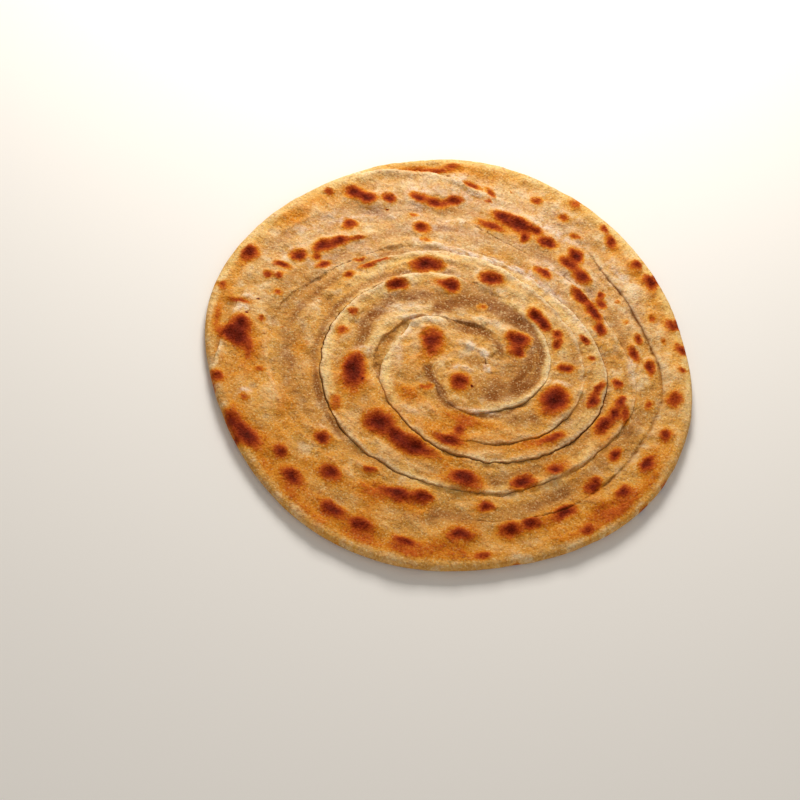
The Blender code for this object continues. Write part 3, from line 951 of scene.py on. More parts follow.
@dataclass(frozen=True)
class Browning:
    """What browns the dough, from 0 for raw dough to 1 for char, and how much each cause adds.

    High dough browns first, and the side towards the viewer more than the rest, partly as a real
    toasted tone and partly as painted shade. The rim has a brown line inside its pale edge, which is
    a painted highlight along the rounded rim. Toasted patches bring the dough towards gold, and
    scorches to char.
    Pairs named from are where a cause sets in and where it is whole, and those named fade are where a
    mark stops being whole and where it is gone, with 1 on its oval.
    """

    plain: float = 0.20
    char: float = 0.95
    high: float = 0.06
    high_from: tuple[float, float] = (-0.6, 0.8)
    line: float = 0.05
    line_place: float = 0.94
    line_width: float = 0.05
    # A paler rim: painted highlight along the rounded edge.
    pale_edge_highlight: float = 0.18
    pale_edge_highlight_from: tuple[float, float] = (0.955, 0.985)
    # Browner towards the viewer: partly a real toasted tone, partly painted shade on the side the key lamp
    # lights least.
    near: float = 0.17
    near_from: tuple[float, float] = (40, -40)
    toasted: float = 0.30
    warm: float = 0.08
    warm_fade: tuple[float, float] = (0.6, 2.8)
    scorch_fade: tuple[float, float] = (0.0, 1.7)
    speck_fade: tuple[float, float] = (0.4, 1.3)
    drift: Bumps = Bumps(51, 9, 0.08)
    ragged_x: tuple[Bumps, ...] = (Bumps(81, 4, 0.7), Bumps(82, 1.3, 0.25))
    ragged_y: tuple[Bumps, ...] = (Bumps(83, 4, 0.7), Bumps(84, 1.3, 0.25))

    def at(self, x: Array, y: Array, relief: Array, toasted: Array, out: Array) -> Array:
        """How far the surface has browned.

        Args:
            x, y: Places on the bread.
            relief: Height above the plain bread.
            toasted: How strong the toasted patches are, from 0 to 1.
            out: Share of the way to the rim.

        Returns:
            Browning at each place.
        """
        base = self.plain + self.high * ramp(*self.high_from, relief) + self.near * ramp(*self.near_from, y)
        base = base + self.line * bell(out - self.line_place, self.line_width)
        base = base - self.pale_edge_highlight * ramp(*self.pale_edge_highlight_from, out) + self.drift.at(x, y)
        base = base + self.toasted * toasted + self.warm * spread(SCORCHES, x, y, *self.warm_fade)
        ragged_x = x + sum(bumps.at(x, y) for bumps in self.ragged_x)
        ragged_y = y + sum(bumps.at(x, y) for bumps in self.ragged_y)
        scorch = spread(SCORCHES, ragged_x, ragged_y, *self.scorch_fade)
        return np.maximum(base + (self.char - base) * scorch, spread(SPECKS, x, y, *self.speck_fade))


@dataclass(frozen=True)
class Relief:
    """Heights on the top side in millimetres, and where they set in or fade.

    Each scorch is a blister with a dent in its middle. Plain dough lies lower and smoother.
    """

    folds: float = 1.3
    nicks: float = 0.3
    nick_size: float = 5.0
    swell: Bumps = Bumps(43, 13, 0.60)
    pillows: tuple[Bumps, ...] = (Bumps(44, 5.6, 0.50), Bumps(45, 2.8, 0.30), Bumps(46, 1.4, 0.20))
    wrinkles: tuple[Wrinkles, ...] = (
        Wrinkles(41, 4.2, 4.0, 0.50, creased=True),
        Wrinkles(42, 2.6, 6.5, 0.42),
        Wrinkles(47, 1.3, 11.0, 0.30),
    )
    wrinkles_from: tuple[float, float] = (4, 14)
    wrinkles_lost: float = 0.5
    wrinkles_lost_from: tuple[float, float] = (0.62, 0.86)
    blister: float = 0.70
    blister_fade: tuple[float, float] = (0.5, 2.1)
    dent: float = 0.45
    dent_fade: tuple[float, float] = (0.2, 1.0)
    flour: float = 0.45
    butter: float = 0.25
    plain: float = -0.25
    plain_calm: float = 0.65
    bead: float = 0.4
    bead_place: float = 3.5
    bead_width: float = 2.5
    rim_share: float = 0.35
    rim_reach: float = 5.0

    def blisters(self, x: Array, y: Array) -> Array:
        """Height of the blisters round the scorches."""
        dents = self.dent * spread(SCORCHES, x, y, *self.dent_fade)
        return self.blister * (spread(SCORCHES, x, y, *self.blister_fade) - dents)

    def skin(self, x: Array, y: Array, lay: Array, distance: Array, out: Array, kinds: Patches) -> Array:
        """Height of the small unevenness of the baked skin.

        Args:
            x, y: Places on the bread.
            lay: Their coordinates along the layers.
            distance: How far they are from the coil's middle.
            out: Share of the way to the rim.
            kinds: The patches there.

        Returns:
            The height at each place.
        """
        drawn = ramp(*self.wrinkles_from, distance)
        drawn = drawn * (1 - self.wrinkles_lost * ramp(*self.wrinkles_lost_from, out))
        rough = drawn * sum(w.at(lay) for w in self.wrinkles) + sum(b.at(x, y) for b in self.pillows)
        rough = rough * (1 - self.plain_calm * kinds.plain)
        return rough + self.flour * kinds.flour + self.butter * kinds.butter + self.plain * kinds.plain

    def at_rim(self, relief: Array, to_rim: Array) -> Array:
        """Calms the relief towards the edge and adds the edge's bead."""
        share = self.rim_share + (1 - self.rim_share) * ramp(0.0, self.rim_reach, to_rim)
        return relief * share + self.bead * bell(to_rim - self.bead_place, self.bead_width)


@dataclass(frozen=True)
class Bread:
    """The whole bread, in millimetres.

    Its mesh is rings of points about the coil's middle, from the top's pole over the rim to the
    underside's pole, crowded together at the folds. Rings closer to the middle than each of
    ring_halvings have half as many points. The eight fields after lay_scale are shares of the finish
    values that come from the shape: painted shade in low places and cracks, and painted light and
    shade on crests, lips and dips. Those from under_hollows on are the underside's.
    """

    coil: Coil = Coil()
    outline: Outline = Outline()
    patchwork: Patchwork = Patchwork()
    browning: Browning = Browning()
    relief: Relief = Relief()
    middle_thickness: float = 5.4
    rim_thickness: float = 3.8
    rim_from: float = 0.35
    rim_lift: float = 0.7
    flat_share: float = 0.78
    inset: float = 0.3
    bulges: tuple[tuple[int, float, float], ...] = ((5, 3, 0.35), (6, 14, 0.14))
    columns: int = 792
    top_rings: int = 136
    rim_rings: int = 8
    under_rings: int = 30
    ring_halvings: tuple[float, ...] = (44, 22, 11)
    edge_depth: float = 1.7
    edge_power: float = 0.8
    edge_leaves: float = 0.14
    ring_samples: int = 900
    crowding: float = 6.5
    crowd_width: float = 0.75
    crowd_fade: tuple[float, float] = (-6.0, 3.0)
    turn_growth: float = 38.0
    fold_starts: tuple[tuple[Fold, float], ...] = ((INNER_FOLD, 4.0), (OUTER_FOLD, 21.0))
    lay_scale: tuple[float, ...] = (1, 1, 6, 4)
    low_raw_and_shade: float = 0.2
    low_from: tuple[float, float] = (0.0, -0.9)
    flour_hides_raw: float = 0.8
    flour_hides_crack_shade: float = 0.7
    lip_highlight: float = 0.35
    skin_painted_light: float = 0.65
    fold_painted_light: float = 0.5
    plain_painted_shade: float = 0.25
    under_hollows: tuple[Bumps, ...] = (Bumps(71, 11), Bumps(72, 5, 0.5))
    hollow_brown: float = 0.06
    hollow_raw: float = 0.5
    under_depth: float = 0.35
    under_brown: float = 0.30
    under_scorches: Bumps = Bumps(73, 5.2)
    under_scorched: tuple[float, float] = (0.42, 0.8)

    def angles(self) -> Array:
        """Directions of the columns."""
        return np.arange(self.columns) * math.tau / self.columns

    def placed(self, distance: Array) -> tuple[Array, Array, Array]:
        """Finds places from their distance in each column.

        Args:
            distance: Distances from the coil's middle, one row a column.

        Returns:
            Their directions from the coil's middle, and their x and y.
        """
        angle = self.angles()[:, None] + np.zeros_like(distance)
        x, y = self.coil.middle
        return angle, x + distance * np.cos(angle), y + distance * np.sin(angle)

    def rim_distance(self) -> Array:
        """Finds the edge in each column: the outline, set in a little, with small uneven bulges.

        Returns:
            The edge's distance from the coil's middle.
        """
        angle = self.angles()
        plain = self.outline.distance_from(self.coil.middle, angle)
        bulge = sum(
            height * noise(seed, count * np.cos(angle), count * np.sin(angle))
            for seed, count, height in self.bulges
        )
        return plain + bulge - self.inset

    def ring_distances(self, reach: Array, rings: int) -> Array:
        """Places rings in each column so that they crowd where the folds cross it.

        The number of rings up to a distance grows with a density of 1 + crowding * need *
        exp(-(past / width)^2) summed over the folds. A ring goes where that number is its own share.

        Args:
            reach: How far the rings go in each column.
            rings: How many there are.

        Returns:
            Distances, one row a column.
        """
        distance = np.linspace(0, 1, self.ring_samples) * reach[:, None]
        density = np.ones_like(distance)
        for at in self.coil.crossings(self.angles()):
            past = distance - at.radius[:, None]
            within = self.crowding * (1 - ramp(*self.crowd_fade, at.radius - reach))
            density += (within * at.near)[:, None] * bell(past, self.crowd_width)
            density += (within * at.far)[:, None] * bell(past - at.gap[:, None], self.crowd_width)
        count = np.cumsum(density, axis=1)
        count = (count - count[:, :1]) / (count[:, -1:] - count[:, :1])
        # Raised by 2 for each column before it, the counts of all columns make one rising row.
        column = 2 * np.arange(len(reach))[:, None]
        wanted = np.arange(1, rings + 1) / rings + column
        return np.interp(wanted, (count + column).ravel(), distance.ravel())

    def wound_distance(self, distance: Array) -> Array:
        """Straightens the folds: a distance measured so that each fold keeps to an even spiral.

        Between one fold and the next the distance is stretched in proportion, so lines of equal wound
        distance less turn_growth a turn follow the dough's own layers.

        Args:
            distance: Distances from the coil's middle, one row a column.

        Returns:
            Wound distances of the same shape.
        """
        angle = self.angles()
        known = [(np.zeros_like(angle), np.zeros_like(angle))]
        for fold, start in self.fold_starts:
            for turn in range(-1, 4):
                twelfth = angle / TWELFTH + 12 * turn
                begun = twelfth >= fold.first_twelfth
                even = start + self.turn_growth * twelfth / 12
                known.append((np.where(begun, fold.course_at(twelfth), 0), np.where(begun, even, 0)))
        real = np.stack([k[0] for k in known], axis=1)
        even = np.stack([k[1] for k in known], axis=1)
        order = np.argsort(real, axis=1, kind="stable")
        real = np.take_along_axis(real, order, axis=1)
        even = np.maximum.accumulate(np.take_along_axis(even, order, axis=1), axis=1)
        wound = np.zeros_like(distance)
        for left in range(real.shape[1] - 1):
            low, high = real[:, left, None], real[:, left + 1, None]
            part = (distance - low) / np.maximum(high - low, 1e-6)
            value = even[:, left, None] * (1 - part) + even[:, left + 1, None] * part
            wound = np.where((distance >= low) & (high > low), value, wound)
        return wound

    def plain_section(self, distance: Array, rim: Array) -> tuple[Array, Array]:
        """The smooth bread under the relief.

        Thickness eases from the middle's to the rim's, and the underside lifts near the rim.

        Args:
            distance: Distances from the coil's middle.
            rim: The edge's distance in the same columns.

        Returns:
            Heights of the underside and of the top.
        """
        out = np.clip(distance / rim, 0, 1)
        thinning = (self.middle_thickness - self.rim_thickness) * ramp(self.rim_from, 1.0, out)
        thickness = self.middle_thickness - thinning
        underside = self.rim_lift * ramp(self.flat_share, 1.0, out)
        return underside, underside + thickness

    def folded(self, distance: Array) -> tuple[Array, Array, Array, Array]:
        """Lays every fold over the rings.

        Args:
            distance: Ring distances, one row a column.

        Returns:
            The folds' height, their outward shift, the painted shade in their cracks and gaps, and the
            painted highlight on the sharp edges of their lips.
        """
        height, shift, crack, lip = (np.zeros_like(distance) for _ in range(4))
        for at in self.coil.crossings(self.angles()):
            along = at.course * TWELFTH * at.radius / self.relief.nick_size
            nick = 1 + self.relief.nicks * noise(at.seed + 1, along)
            past = (distance - at.radius[:, None]) * at.slant[:, None]
            rise, lean, shadow, edge = self.coil.section(past, at)
            height += rise * nick[:, None]
            shift += lean
            # The painted shade in cracks and gaps, and the painted highlight on lips, from every fold.
            crack = np.maximum(crack, shadow)
            lip = np.maximum(lip, edge)
        return self.relief.folds * height, shift, crack, lip

    def top(self, distance: Array, rim: Array) -> Sheet:
        """The top side: plain section, folds, layers, swellings and blisters.

        Args:
            distance: Ring distances, one row a column.
            rim: The edge's distance in each column.

        Returns:
            The top's points and finish values.
        """
        _, height = self.plain_section(distance, rim[:, None])
        to_rim, out = rim[:, None] - distance, distance / rim[:, None]
        folds, shift, crack, lip = self.folded(distance)
        angle, _, _ = self.placed(distance)
        _, x, y = self.placed(distance + shift)
        lay = self.lay(distance)
        kinds = self.patchwork.at(x, y, angle, distance, to_rim)
        skin = self.relief.skin(x, y, lay, distance, out, kinds)
        relief = folds + self.relief.swell.at(x, y) + skin + self.relief.blisters(x, y)
        browning = self.browning.at(x, y, relief, kinds.toasted, out)
        # Raw colour in low places: partly raw dough, partly painted shade in the dips.
        low = self.low_raw_and_shade * ramp(*self.low_from, relief)
        values = {
            "raw": either(kinds.plain, low) * (1 - self.flour_hides_raw * kinds.flour),
            "butter": kinds.butter,
            # Pale: dry flour, a painted highlight along lip edges, and pale dust with painted sheen.
            "pale": np.clip(kinds.flour + self.lip_highlight * lip + kinds.dust_and_sheen, 0, 1),
            # Painted light and shade: lighter on crests and lip edges, darker in dips and plain patches.
            "lift": self.skin_painted_light * skin + self.fold_painted_light * folds + lip - self.plain_painted_shade * kinds.plain,
        }
        seen = {key: value * (1 - ramp(*BROWNED_OVER[key], browning)) for key, value in values.items()}
        return Sheet(
            points=np.stack((x, y, height + self.relief.at_rim(relief, to_rim)), axis=-1),
            finish={
                "browning": browning,
                # Painted shade in cracks and on gap floors, less where flour lies.
                "crack": crack * (1 - self.flour_hides_crack_shade * kinds.flour),
                "lay": lay,
                **seen,
            },
        )

    def lay(self, distance: Array) -> Array:
        """Coordinates in which the dough's layers run straight, for streaks along the folds.

        The first two go round a circle once for each winding of the dough, and the last two round a
        circle once for each turn of the bread, so that a pattern on them has no seam anywhere.

        Args:
            distance: Distances from the coil's middle, one row a column.

        Returns:
            Four coordinates: two across the layers in millimetres, two along them.
        """
        angle, _, _ = self.placed(distance)
        wound = self.wound_distance(distance) - self.turn_growth * angle / math.tau
        phase = math.tau * wound / self.turn_growth
        across = self.turn_growth / math.tau
        return np.stack(
            (across * np.cos(phase), across * np.sin(phase), np.cos(angle), np.sin(angle)), axis=-1
        )

    def rim_edge(self, top: Sheet, under: Sheet, rim: Array) -> Array:
        """The rounded edge: half an oval from the top's last ring over the rim to the underside's first.

        A ring's height is middle + half * sin(turn), and it lies inside the rim by edge_depth *
        (1 - cos(turn) ^ edge_power), less low random leaves of dough along the edge.

        Args:
            top: The top side.
            under: The underside, rings inwards.
            rim: The edge's distance in each column.

        Returns:
            Points, columns by rings.
        """
        angle = self.angles()[:, None]
        turn = np.pi / 2 - np.pi * np.arange(1, self.rim_rings + 1) / (self.rim_rings + 1)
        high, low = top.points[:, -1, 2], under.points[:, 0, 2]
        middle, half = (high + low)[:, None] / 2, (high - low)[:, None] / 2
        z = middle + half * np.sin(turn)
        leaf_seed, leaves, leaf_height = 61, 5, 0.7
        leaf = noise(leaf_seed, leaves * np.cos(angle), leaves * np.sin(angle), z / leaf_height)
        inwards = self.edge_depth * (1 - np.cos(turn) ** self.edge_power)
        out = rim[:, None] - inwards + self.edge_leaves * leaf * np.cos(turn)
        _, x, y = self.placed(out)
        return np.stack((x, y, z), axis=-1)

    def underside(self, distance: Array, rim: Array) -> Sheet:
        """The side that lay on the griddle last: flat, with shallow hollows and its own scorched spots.

        Args:
            distance: Ring distances from the rim inwards, one row a column.
            rim: The edge's distance in each column.

        Returns:
            The underside's points and finish values.
        """
        height, _ = self.plain_section(distance, rim[:, None])
        _, x, y = self.placed(distance)
        hollow = sum(bumps.at(x, y) for bumps in self.under_hollows)
        scorched = ramp(*self.under_scorched, self.under_scorches.at(x, y))
        values = {
            "browning": self.under_brown + self.hollow_brown * hollow + (1 - self.under_brown) * scorched,
            "raw": self.hollow_raw * ramp(0, 1, hollow),
            "lay": self.lay(distance),
        }
        values.update({key: np.zeros_like(distance) for key in ("butter", "pale", "crack", "lift")})
        z = height + self.under_depth * np.clip(hollow, 0, 1)
        return Sheet(points=np.stack((x, y, z), axis=-1), finish=values)

    def counts(self, distances: Array) -> list[int]:
        """How many points each ring has: all the columns outside, and half as many past each halving."""
        return [self.columns >> sum(d <= limit for limit in self.ring_halvings) for d in distances]

    def across_rim(self, top: Array, under: Array) -> Array:
        """Joins a finish value of the top and the underside, easing from one to the other over the rim.

        Args:
            top: The top's values, columns by rings.
            under: The underside's, rings inwards.

        Returns:
            The values of all rings.
        """
        share = np.linspace(0, 1, self.rim_rings + 2)[1:-1]
        share = share.reshape((1, -1) + (1,) * (top.ndim - 2))
        between = top[:, -1:] * (1 - share) + under[:, :1] * share
        return np.concatenate((top, between, under), axis=1)

    def build(self, finish: bpy.types.Material) -> bpy.types.Object:
        """Makes the bread.

        Args:
            finish: The dough's material.

        Returns:
            The finished piece, riding in the node's place.
        """
        rim = self.rim_distance()
        reach = rim - self.edge_depth
        rings = self.ring_distances(reach, self.top_rings)
        inwards = np.linspace(1, 0, self.under_rings, endpoint=False)
        top = self.top(rings, rim)
        under = self.underside(reach[:, None] * inwards, rim)
        points = np.concatenate((top.points, self.rim_edge(top, under, rim), under.points), axis=1)
        counts = self.counts(np.median(rings, axis=0)) + [self.columns] * self.rim_rings
        counts += [min(n, self.columns // 2) for n in self.counts(np.median(reach) * inwards)]
        values = {
            key: in_point_order(self.across_rim(grid, under.finish[key]), counts)
            for key, grid in top.finish.items()
        }
        lay = values["lay"] * np.array(self.lay_scale)
        values.update(lay=lay[:, :3], lay_w=lay[:, 3])
        piece = mesh_object("coiled_paratha", in_point_order(points, counts), ring_faces(counts), values)
        piece.data.materials.append(finish)
        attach(piece, BODY)
        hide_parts(NODE)
        return piece


# ---------------------------------------------------------------- meshes


def join_rings(first: Array, second: Array) -> Array:
    """Joins two neighbouring rings of points, equal in number or one with twice as many.

    Args:
        first: Point numbers of the ring that comes first on the way from the top's pole to the
            underside's, counterclockwise from above.
        second: Point numbers of the next ring.

    Returns:
        Triangles that face out of the bread.
    """
    if len(second) < len(first):
        return join_rings(second, first)[:, ::-1]
    first_next = np.roll(first, -1)
    if len(second) == len(first):
        second_next = np.roll(second, -1)
        rows = ((first, second, second_next), (first, second_next, first_next))
    else:
        here, between = second[0::2], second[1::2]
        after = np.roll(here, -1)
        rows = ((first, here, between), (first, between, first_next), (first_next, between, after))
    return np.concatenate([np.stack(row, axis=1) for row in rows])


def ring_faces(counts: list[int]) -> Array:
    """Closes a surface of rings with a pole at each end.

    Args:
        counts: How many points each ring has, from the top's pole to the underside's.

    Returns:
        Triangles that face out of the bread.
    """
    starts = 1 + np.concatenate(([0], np.cumsum(counts)))
    numbers = [np.arange(start, start + n) for start, n in zip(starts, counts)]
    faces = [join_rings(a, b) for a, b in zip(numbers, numbers[1:])]
    for pole, ring, way in ((0, numbers[0], 1), (starts[-1], numbers[-1], -1)):
        faces.append(np.stack((np.full(len(ring), pole), ring, np.roll(ring, -1)), axis=1)[:, ::way])
    return np.concatenate(faces)


def in_point_order(grid: Array, counts: list[int]) -> Array:
    """Lists a grid's values ring by ring, thinned to each ring's number of points, with a pole at each end.

    Args:
        grid: Columns by rings, with one value or more at each.
        counts: How many points each ring has.

    Returns:
        One row a point. A pole has the mean of the ring beside it.
    """
    rings = [grid[:: len(grid) // count, ring] for ring, count in enumerate(counts)]
    poles = [ring.mean(axis=0, keepdims=True) for ring in (rings[0], rings[-1])]
    return np.concatenate([poles[0], *rings, poles[1]])


def mesh_object(name: str, points: Array, faces: Array, values: dict[str, Array]) -> bpy.types.Object:
    """Makes a smooth mesh object at the origin.

    Args:
        name: The object's name.
        points: Places in millimetres, one row a point.
        faces: Triangles as rows of point numbers.
        values: Numbers or vectors for the finish to read, one a point, by name.

    Returns:
        The object, linked to the scene.
    """
    mesh = bpy.data.meshes.new(name)
    mesh.vertices.add(len(points))
    mesh.vertices.foreach_set("co", (points * MM).astype(np.float32).ravel())
    mesh.loops.add(faces.size)
    mesh.loops.foreach_set("vertex_index", faces.astype(np.int32).ravel())
    mesh.polygons.add(len(faces))
    mesh.polygons.foreach_set("loop_start", np.arange(0, faces.size, 3, dtype=np.int32))
    mesh.update(calc_edges=True)
    for key, value in values.items():
        kind, field = ("FLOAT", "value") if value.ndim == 1 else ("FLOAT_VECTOR", "vector")
        layer = mesh.attributes.new(key, kind, "POINT")
        layer.data.foreach_set(field, value.astype(np.float32).ravel())
    mesh.shade_smooth()
    piece = bpy.data.objects.new(name, mesh)
    bpy.context.scene.collection.objects.link(piece)
    return piece


def add_node(
    tree: bpy.types.NodeTree, kind: str, settings: dict[str, object], links: dict[str | int, object]
) -> bpy.types.Node:
    """Adds a node to a material.

    Args:
        tree: The material's node tree.
        kind: The node's type, such as "ShaderNodeMix".
        settings: Values for the node's own properties. stops are a colour ramp's positions and colours.
        links: For each input, the socket that feeds it or its own value.

    Returns:
        The node.
    """
    made = tree.nodes.new(kind)
    for key, value in settings.items():
        if key == "stops":
            row = made.color_ramp.elements
            row[0].position, row[-1].position = value[0][0], value[-1][0]
            row[0].color, row[-1].color = value[0][1], value[-1][1]
            for position, colour in value[1:-1]:
                row.new(position).color = colour
        else:
            setattr(made, key, value)
    for key, value in links.items():
        if isinstance(value, bpy.types.NodeSocket):
            tree.links.new(value, made.inputs[key])
        else:
            made.inputs[key].default_value = value
    return made


# ---------------------------------------------------------------- finishes


class Blend(Enum):
    """How a layer's colour meets the one under it."""

    COVER = "MIX"
    DARKEN = "MULTIPLY"
    LIGHTEN = "SCREEN"


@dataclass(frozen=True)
class Layer:
    """A colour laid over the dough.

    Its share rises from 0 where the source is at low to top where it is at high, and it may be held
    within the limits of a second source, given as its name, low and high.
    """

    source: str
    low: float
    high: float
    top: float
    colour: str
    blend: Blend = Blend.COVER
    within: tuple[str, float, float] | None = None


@dataclass(frozen=True)
class GriddledDough:
    """Wholewheat dough rolled out with oil and baked on a griddle.

    To the eye it is a matt, sandy crumb skin that lets a little light in, with oily glints on its
    grain, which are painted highlights laid into its colour as pale specks. Other layers also paint
    light and shade into the colour: highlights on crests and lip edges, shade in dips, hollows and
    cracks. It browns from cream over gold and orange to a red-brown char. patterns are sizes in
    millimetres, detail and roughness of the grain, and unevenness is how far each shifts the browning.
    The grain is coarse bran flour of 0.3 to 1 mm, drawn at its coarse end so that it shows.
    """

    name: str = "griddled_wholewheat_dough"
    browning: tuple[tuple[float, str], ...] = (
        (0.00, "F0D4AC"),
        (0.14, "E2BA7C"),
        (0.26, "CF984C"),
        (0.36, "E0A854"),
        (0.44, "DE9B3E"),
        (0.53, "D0801C"),
        (0.62, "BE5E18"),
        (0.72, "A24010"),
        (0.84, "78200A"),
        (1.00, "460A04"),
    )
    patterns: tuple[tuple[str, float, float, float], ...] = (
        ("grain", 0.9, 2.0, 0.6),
        ("mottle", 2.6, 3.0, 0.6),
        ("hue", 5.0, 2.0, 0.5),
        ("cloud", 9.0, 2.0, 0.5),
        ("fleck", 1.1, 1.0, 0.5),
        ("glint", 0.75, 1.0, 0.4),
    )
    streak: float = 1.6
    unevenness: tuple[tuple[str, float], ...] = (
        ("mottle", 0.18),
        ("grain", 0.27),
        ("streak", 0.07),
        ("cloud", 0.12),
    )
    smoothest: float = 0.42
    roughening: float = 0.35
    mottle_relief: float = 1.2
    grain_depth: float = 0.5
    layers: tuple[Layer, ...] = (
        Layer("hue", 0.52, 0.70, 0.65, "ECD4AA", within=("browning", 0.46, 0.34)),  # pale dry dough
        Layer("hue", 0.48, 0.30, 0.45, "D08A30", within=("browning", 0.50, 0.36)),  # oily golden dough
        Layer("raw", 0.0, 0.7, 0.75, "B07A44", within=("streak", 0.18, 0.44)),  # undercooked dough, with painted shade in hollows and low places
        Layer("raw", 0.55, 0.95, 0.85, "7C400E", within=("streak", 0.22, 0.50)),  # darkest where the raw share is highest: raw dough and painted shade in deep hollows
        Layer("butter", 0.0, 1.0, 0.9, "F0CC7E", within=("mottle", 0.24, 0.50)),  # buttered lips, and along the far rim butter with a painted highlight
        Layer("pale", 0.0, 1.0, 1.0, "F0DECE", within=("mottle", 0.36, 0.62)),  # dry flour, pale dust with painted sheen, and a painted highlight along lip edges
        Layer("lift", 0.0, 0.9, 0.6, "F2DAAE"),  # painted highlight on crests and lip edges
        Layer("lift", -0.05, -0.8, 0.35, "9A6028"),  # painted shade in the dips between them and in plain patches
        Layer("fleck", 0.52, 0.70, 0.4, "B87A38", blend=Blend.DARKEN),  # bran
        # Painted highlights: glints of oil on the grain, laid into the colour as pale specks. Its real glints
        # are finer than the render can show.
        Layer("glint", 0.57, 0.69, 0.37, "FAD6A0", blend=Blend.LIGHTEN, within=("browning", 0.70, 0.40)),
        Layer("crack", 0.0, 1.0, 0.75, "6A3408"),  # painted shade in cracks and on gap floors
    )

    def sources(self, tree: bpy.types.NodeTree) -> dict[str, bpy.types.NodeSocket]:
        """Adds what the layers read: the mesh's own values, and the patterns.

        Args:
            tree: The material's node tree.

        Returns:
            Sockets by name.
        """
        place = add_node(tree, "ShaderNodeTexCoord", {}, {}).outputs["Object"]
        turned = {"Vector": place, "Rotation": (0.7, 0.5, 0.3)}
        place = add_node(tree, "ShaderNodeMapping", {}, turned).outputs["Vector"]
        found = {
            name: add_node(tree, "ShaderNodeAttribute", {"attribute_name": name}, {}).outputs["Fac"]
            for name in ("browning", "raw", "butter", "pale", "crack", "lift", "lay_w")
        }
        for name, size, detail, roughness in self.patterns:
            inputs = {"Vector": place, "Scale": 1 / (size * MM), "Detail": detail, "Roughness": roughness}
            found[name] = add_node(tree, "ShaderNodeTexNoise", {}, inputs).outputs["Fac"]
        lay = add_node(tree, "ShaderNodeAttribute", {"attribute_name": "lay"}, {}).outputs["Vector"]
        inputs = {"Vector": lay, "W": found["lay_w"], "Scale": 1 / self.streak}
        inputs.update({"Detail": 3.0, "Roughness": 0.6})
        streak = add_node(tree, "ShaderNodeTexNoise", {"noise_dimensions": "4D"}, inputs)
        return {**found, "streak": streak.outputs["Fac"]}

    def crumb(
        self, tree: bpy.types.NodeTree, source: dict[str, bpy.types.NodeSocket]
    ) -> bpy.types.NodeSocket:
        """Colours the dough by its browning, made uneven by the patterns about their middle value.

        Args:
            tree: The material's node tree.
            source: What it reads.

        Returns:
            The dough's colour.
        """
        middle = sum(share for _, share in self.unevenness) / 2
        inputs = {0: source["browning"], 1: middle}
        heat = add_node(tree, "ShaderNodeMath", {"operation": "SUBTRACT"}, inputs).outputs[0]
        for name, share in self.unevenness:
            inputs = {0: source[name], 1: share, 2: heat}
            heat = add_node(tree, "ShaderNodeMath", {"operation": "MULTIPLY_ADD"}, inputs).outputs[0]
        stops = tuple((position, srgb(code)) for position, code in self.browning)
        return add_node(tree, "ShaderNodeValToRGB", {"stops": stops}, {"Fac": heat}).outputs["Color"]

    def laid_over(
        self,
        tree: bpy.types.NodeTree,
        source: dict[str, bpy.types.NodeSocket],
        layer: Layer,
        colour: bpy.types.NodeSocket,
    ) -> bpy.types.NodeSocket:
        """Lays one layer over a colour.

        Args:
            tree: The material's node tree.
            source: What the layer reads.
            layer: The layer.
            colour: What it lies on.

        Returns:
            The colour with the layer on it.
        """
        limits = [(layer.source, layer.low, layer.high, layer.top)]
        if layer.within:
            limits.append((*layer.within, 1.0))
        share = None
        for name, low, high, top in limits:
            inputs = {"Value": source[name], "From Min": low, "From Max": high, "To Min": 0.0, "To Max": top}
            part = add_node(tree, "ShaderNodeMapRange", {"clamp": True}, inputs).outputs[0]
            if share is not None:
                both = {0: share, 1: part}
                part = add_node(tree, "ShaderNodeMath", {"operation": "MULTIPLY"}, both).outputs[0]
            share = part
        settings = {"data_type": "RGBA", "blend_type": layer.blend.value}
        inputs = {0: share, 6: colour, 7: srgb(layer.colour)}
        return add_node(tree, "ShaderNodeMix", settings, inputs).outputs[2]

    def material(self) -> bpy.types.Material:
        """Makes the material.

        Returns:
            The material, ready to put on a mesh.
        """
        made = bpy.data.materials.new(self.name)
        made.use_nodes = True
        tree = made.node_tree
        tree.nodes.clear()
        source = self.sources(tree)
        colour = self.crumb(tree, source)
        for layer in self.layers:
            colour = self.laid_over(tree, source, layer, colour)
        rough = {0: source["grain"], 1: self.roughening, 2: self.smoothest}
        height = {0: source["mottle"], 1: self.mottle_relief, 2: source["grain"]}
        rough, height = (
            add_node(tree, "ShaderNodeMath", {"operation": "MULTIPLY_ADD"}, inputs).outputs[0]
            for inputs in (rough, height)
        )
        bump = {"Strength": 1.0, "Distance": self.grain_depth * MM, "Height": height}
        skin = {
            "Base Color": colour,
            "Roughness": rough,
            "Normal": add_node(tree, "ShaderNodeBump", {}, bump).outputs["Normal"],
            "IOR": 1.45,
            "Specular IOR Level": 0.08,
            "Specular Tint": srgb("FFE0B0"),
            "Subsurface Weight": 0.12,
            "Subsurface Radius": (1.0, 0.42, 0.18),
            "Subsurface Scale": 1.8 * MM,
        }
        shader = add_node(tree, "ShaderNodeBsdfPrincipled", {}, skin).outputs["BSDF"]
        add_node(tree, "ShaderNodeOutputMaterial", {}, {"Surface": shader})
        return made


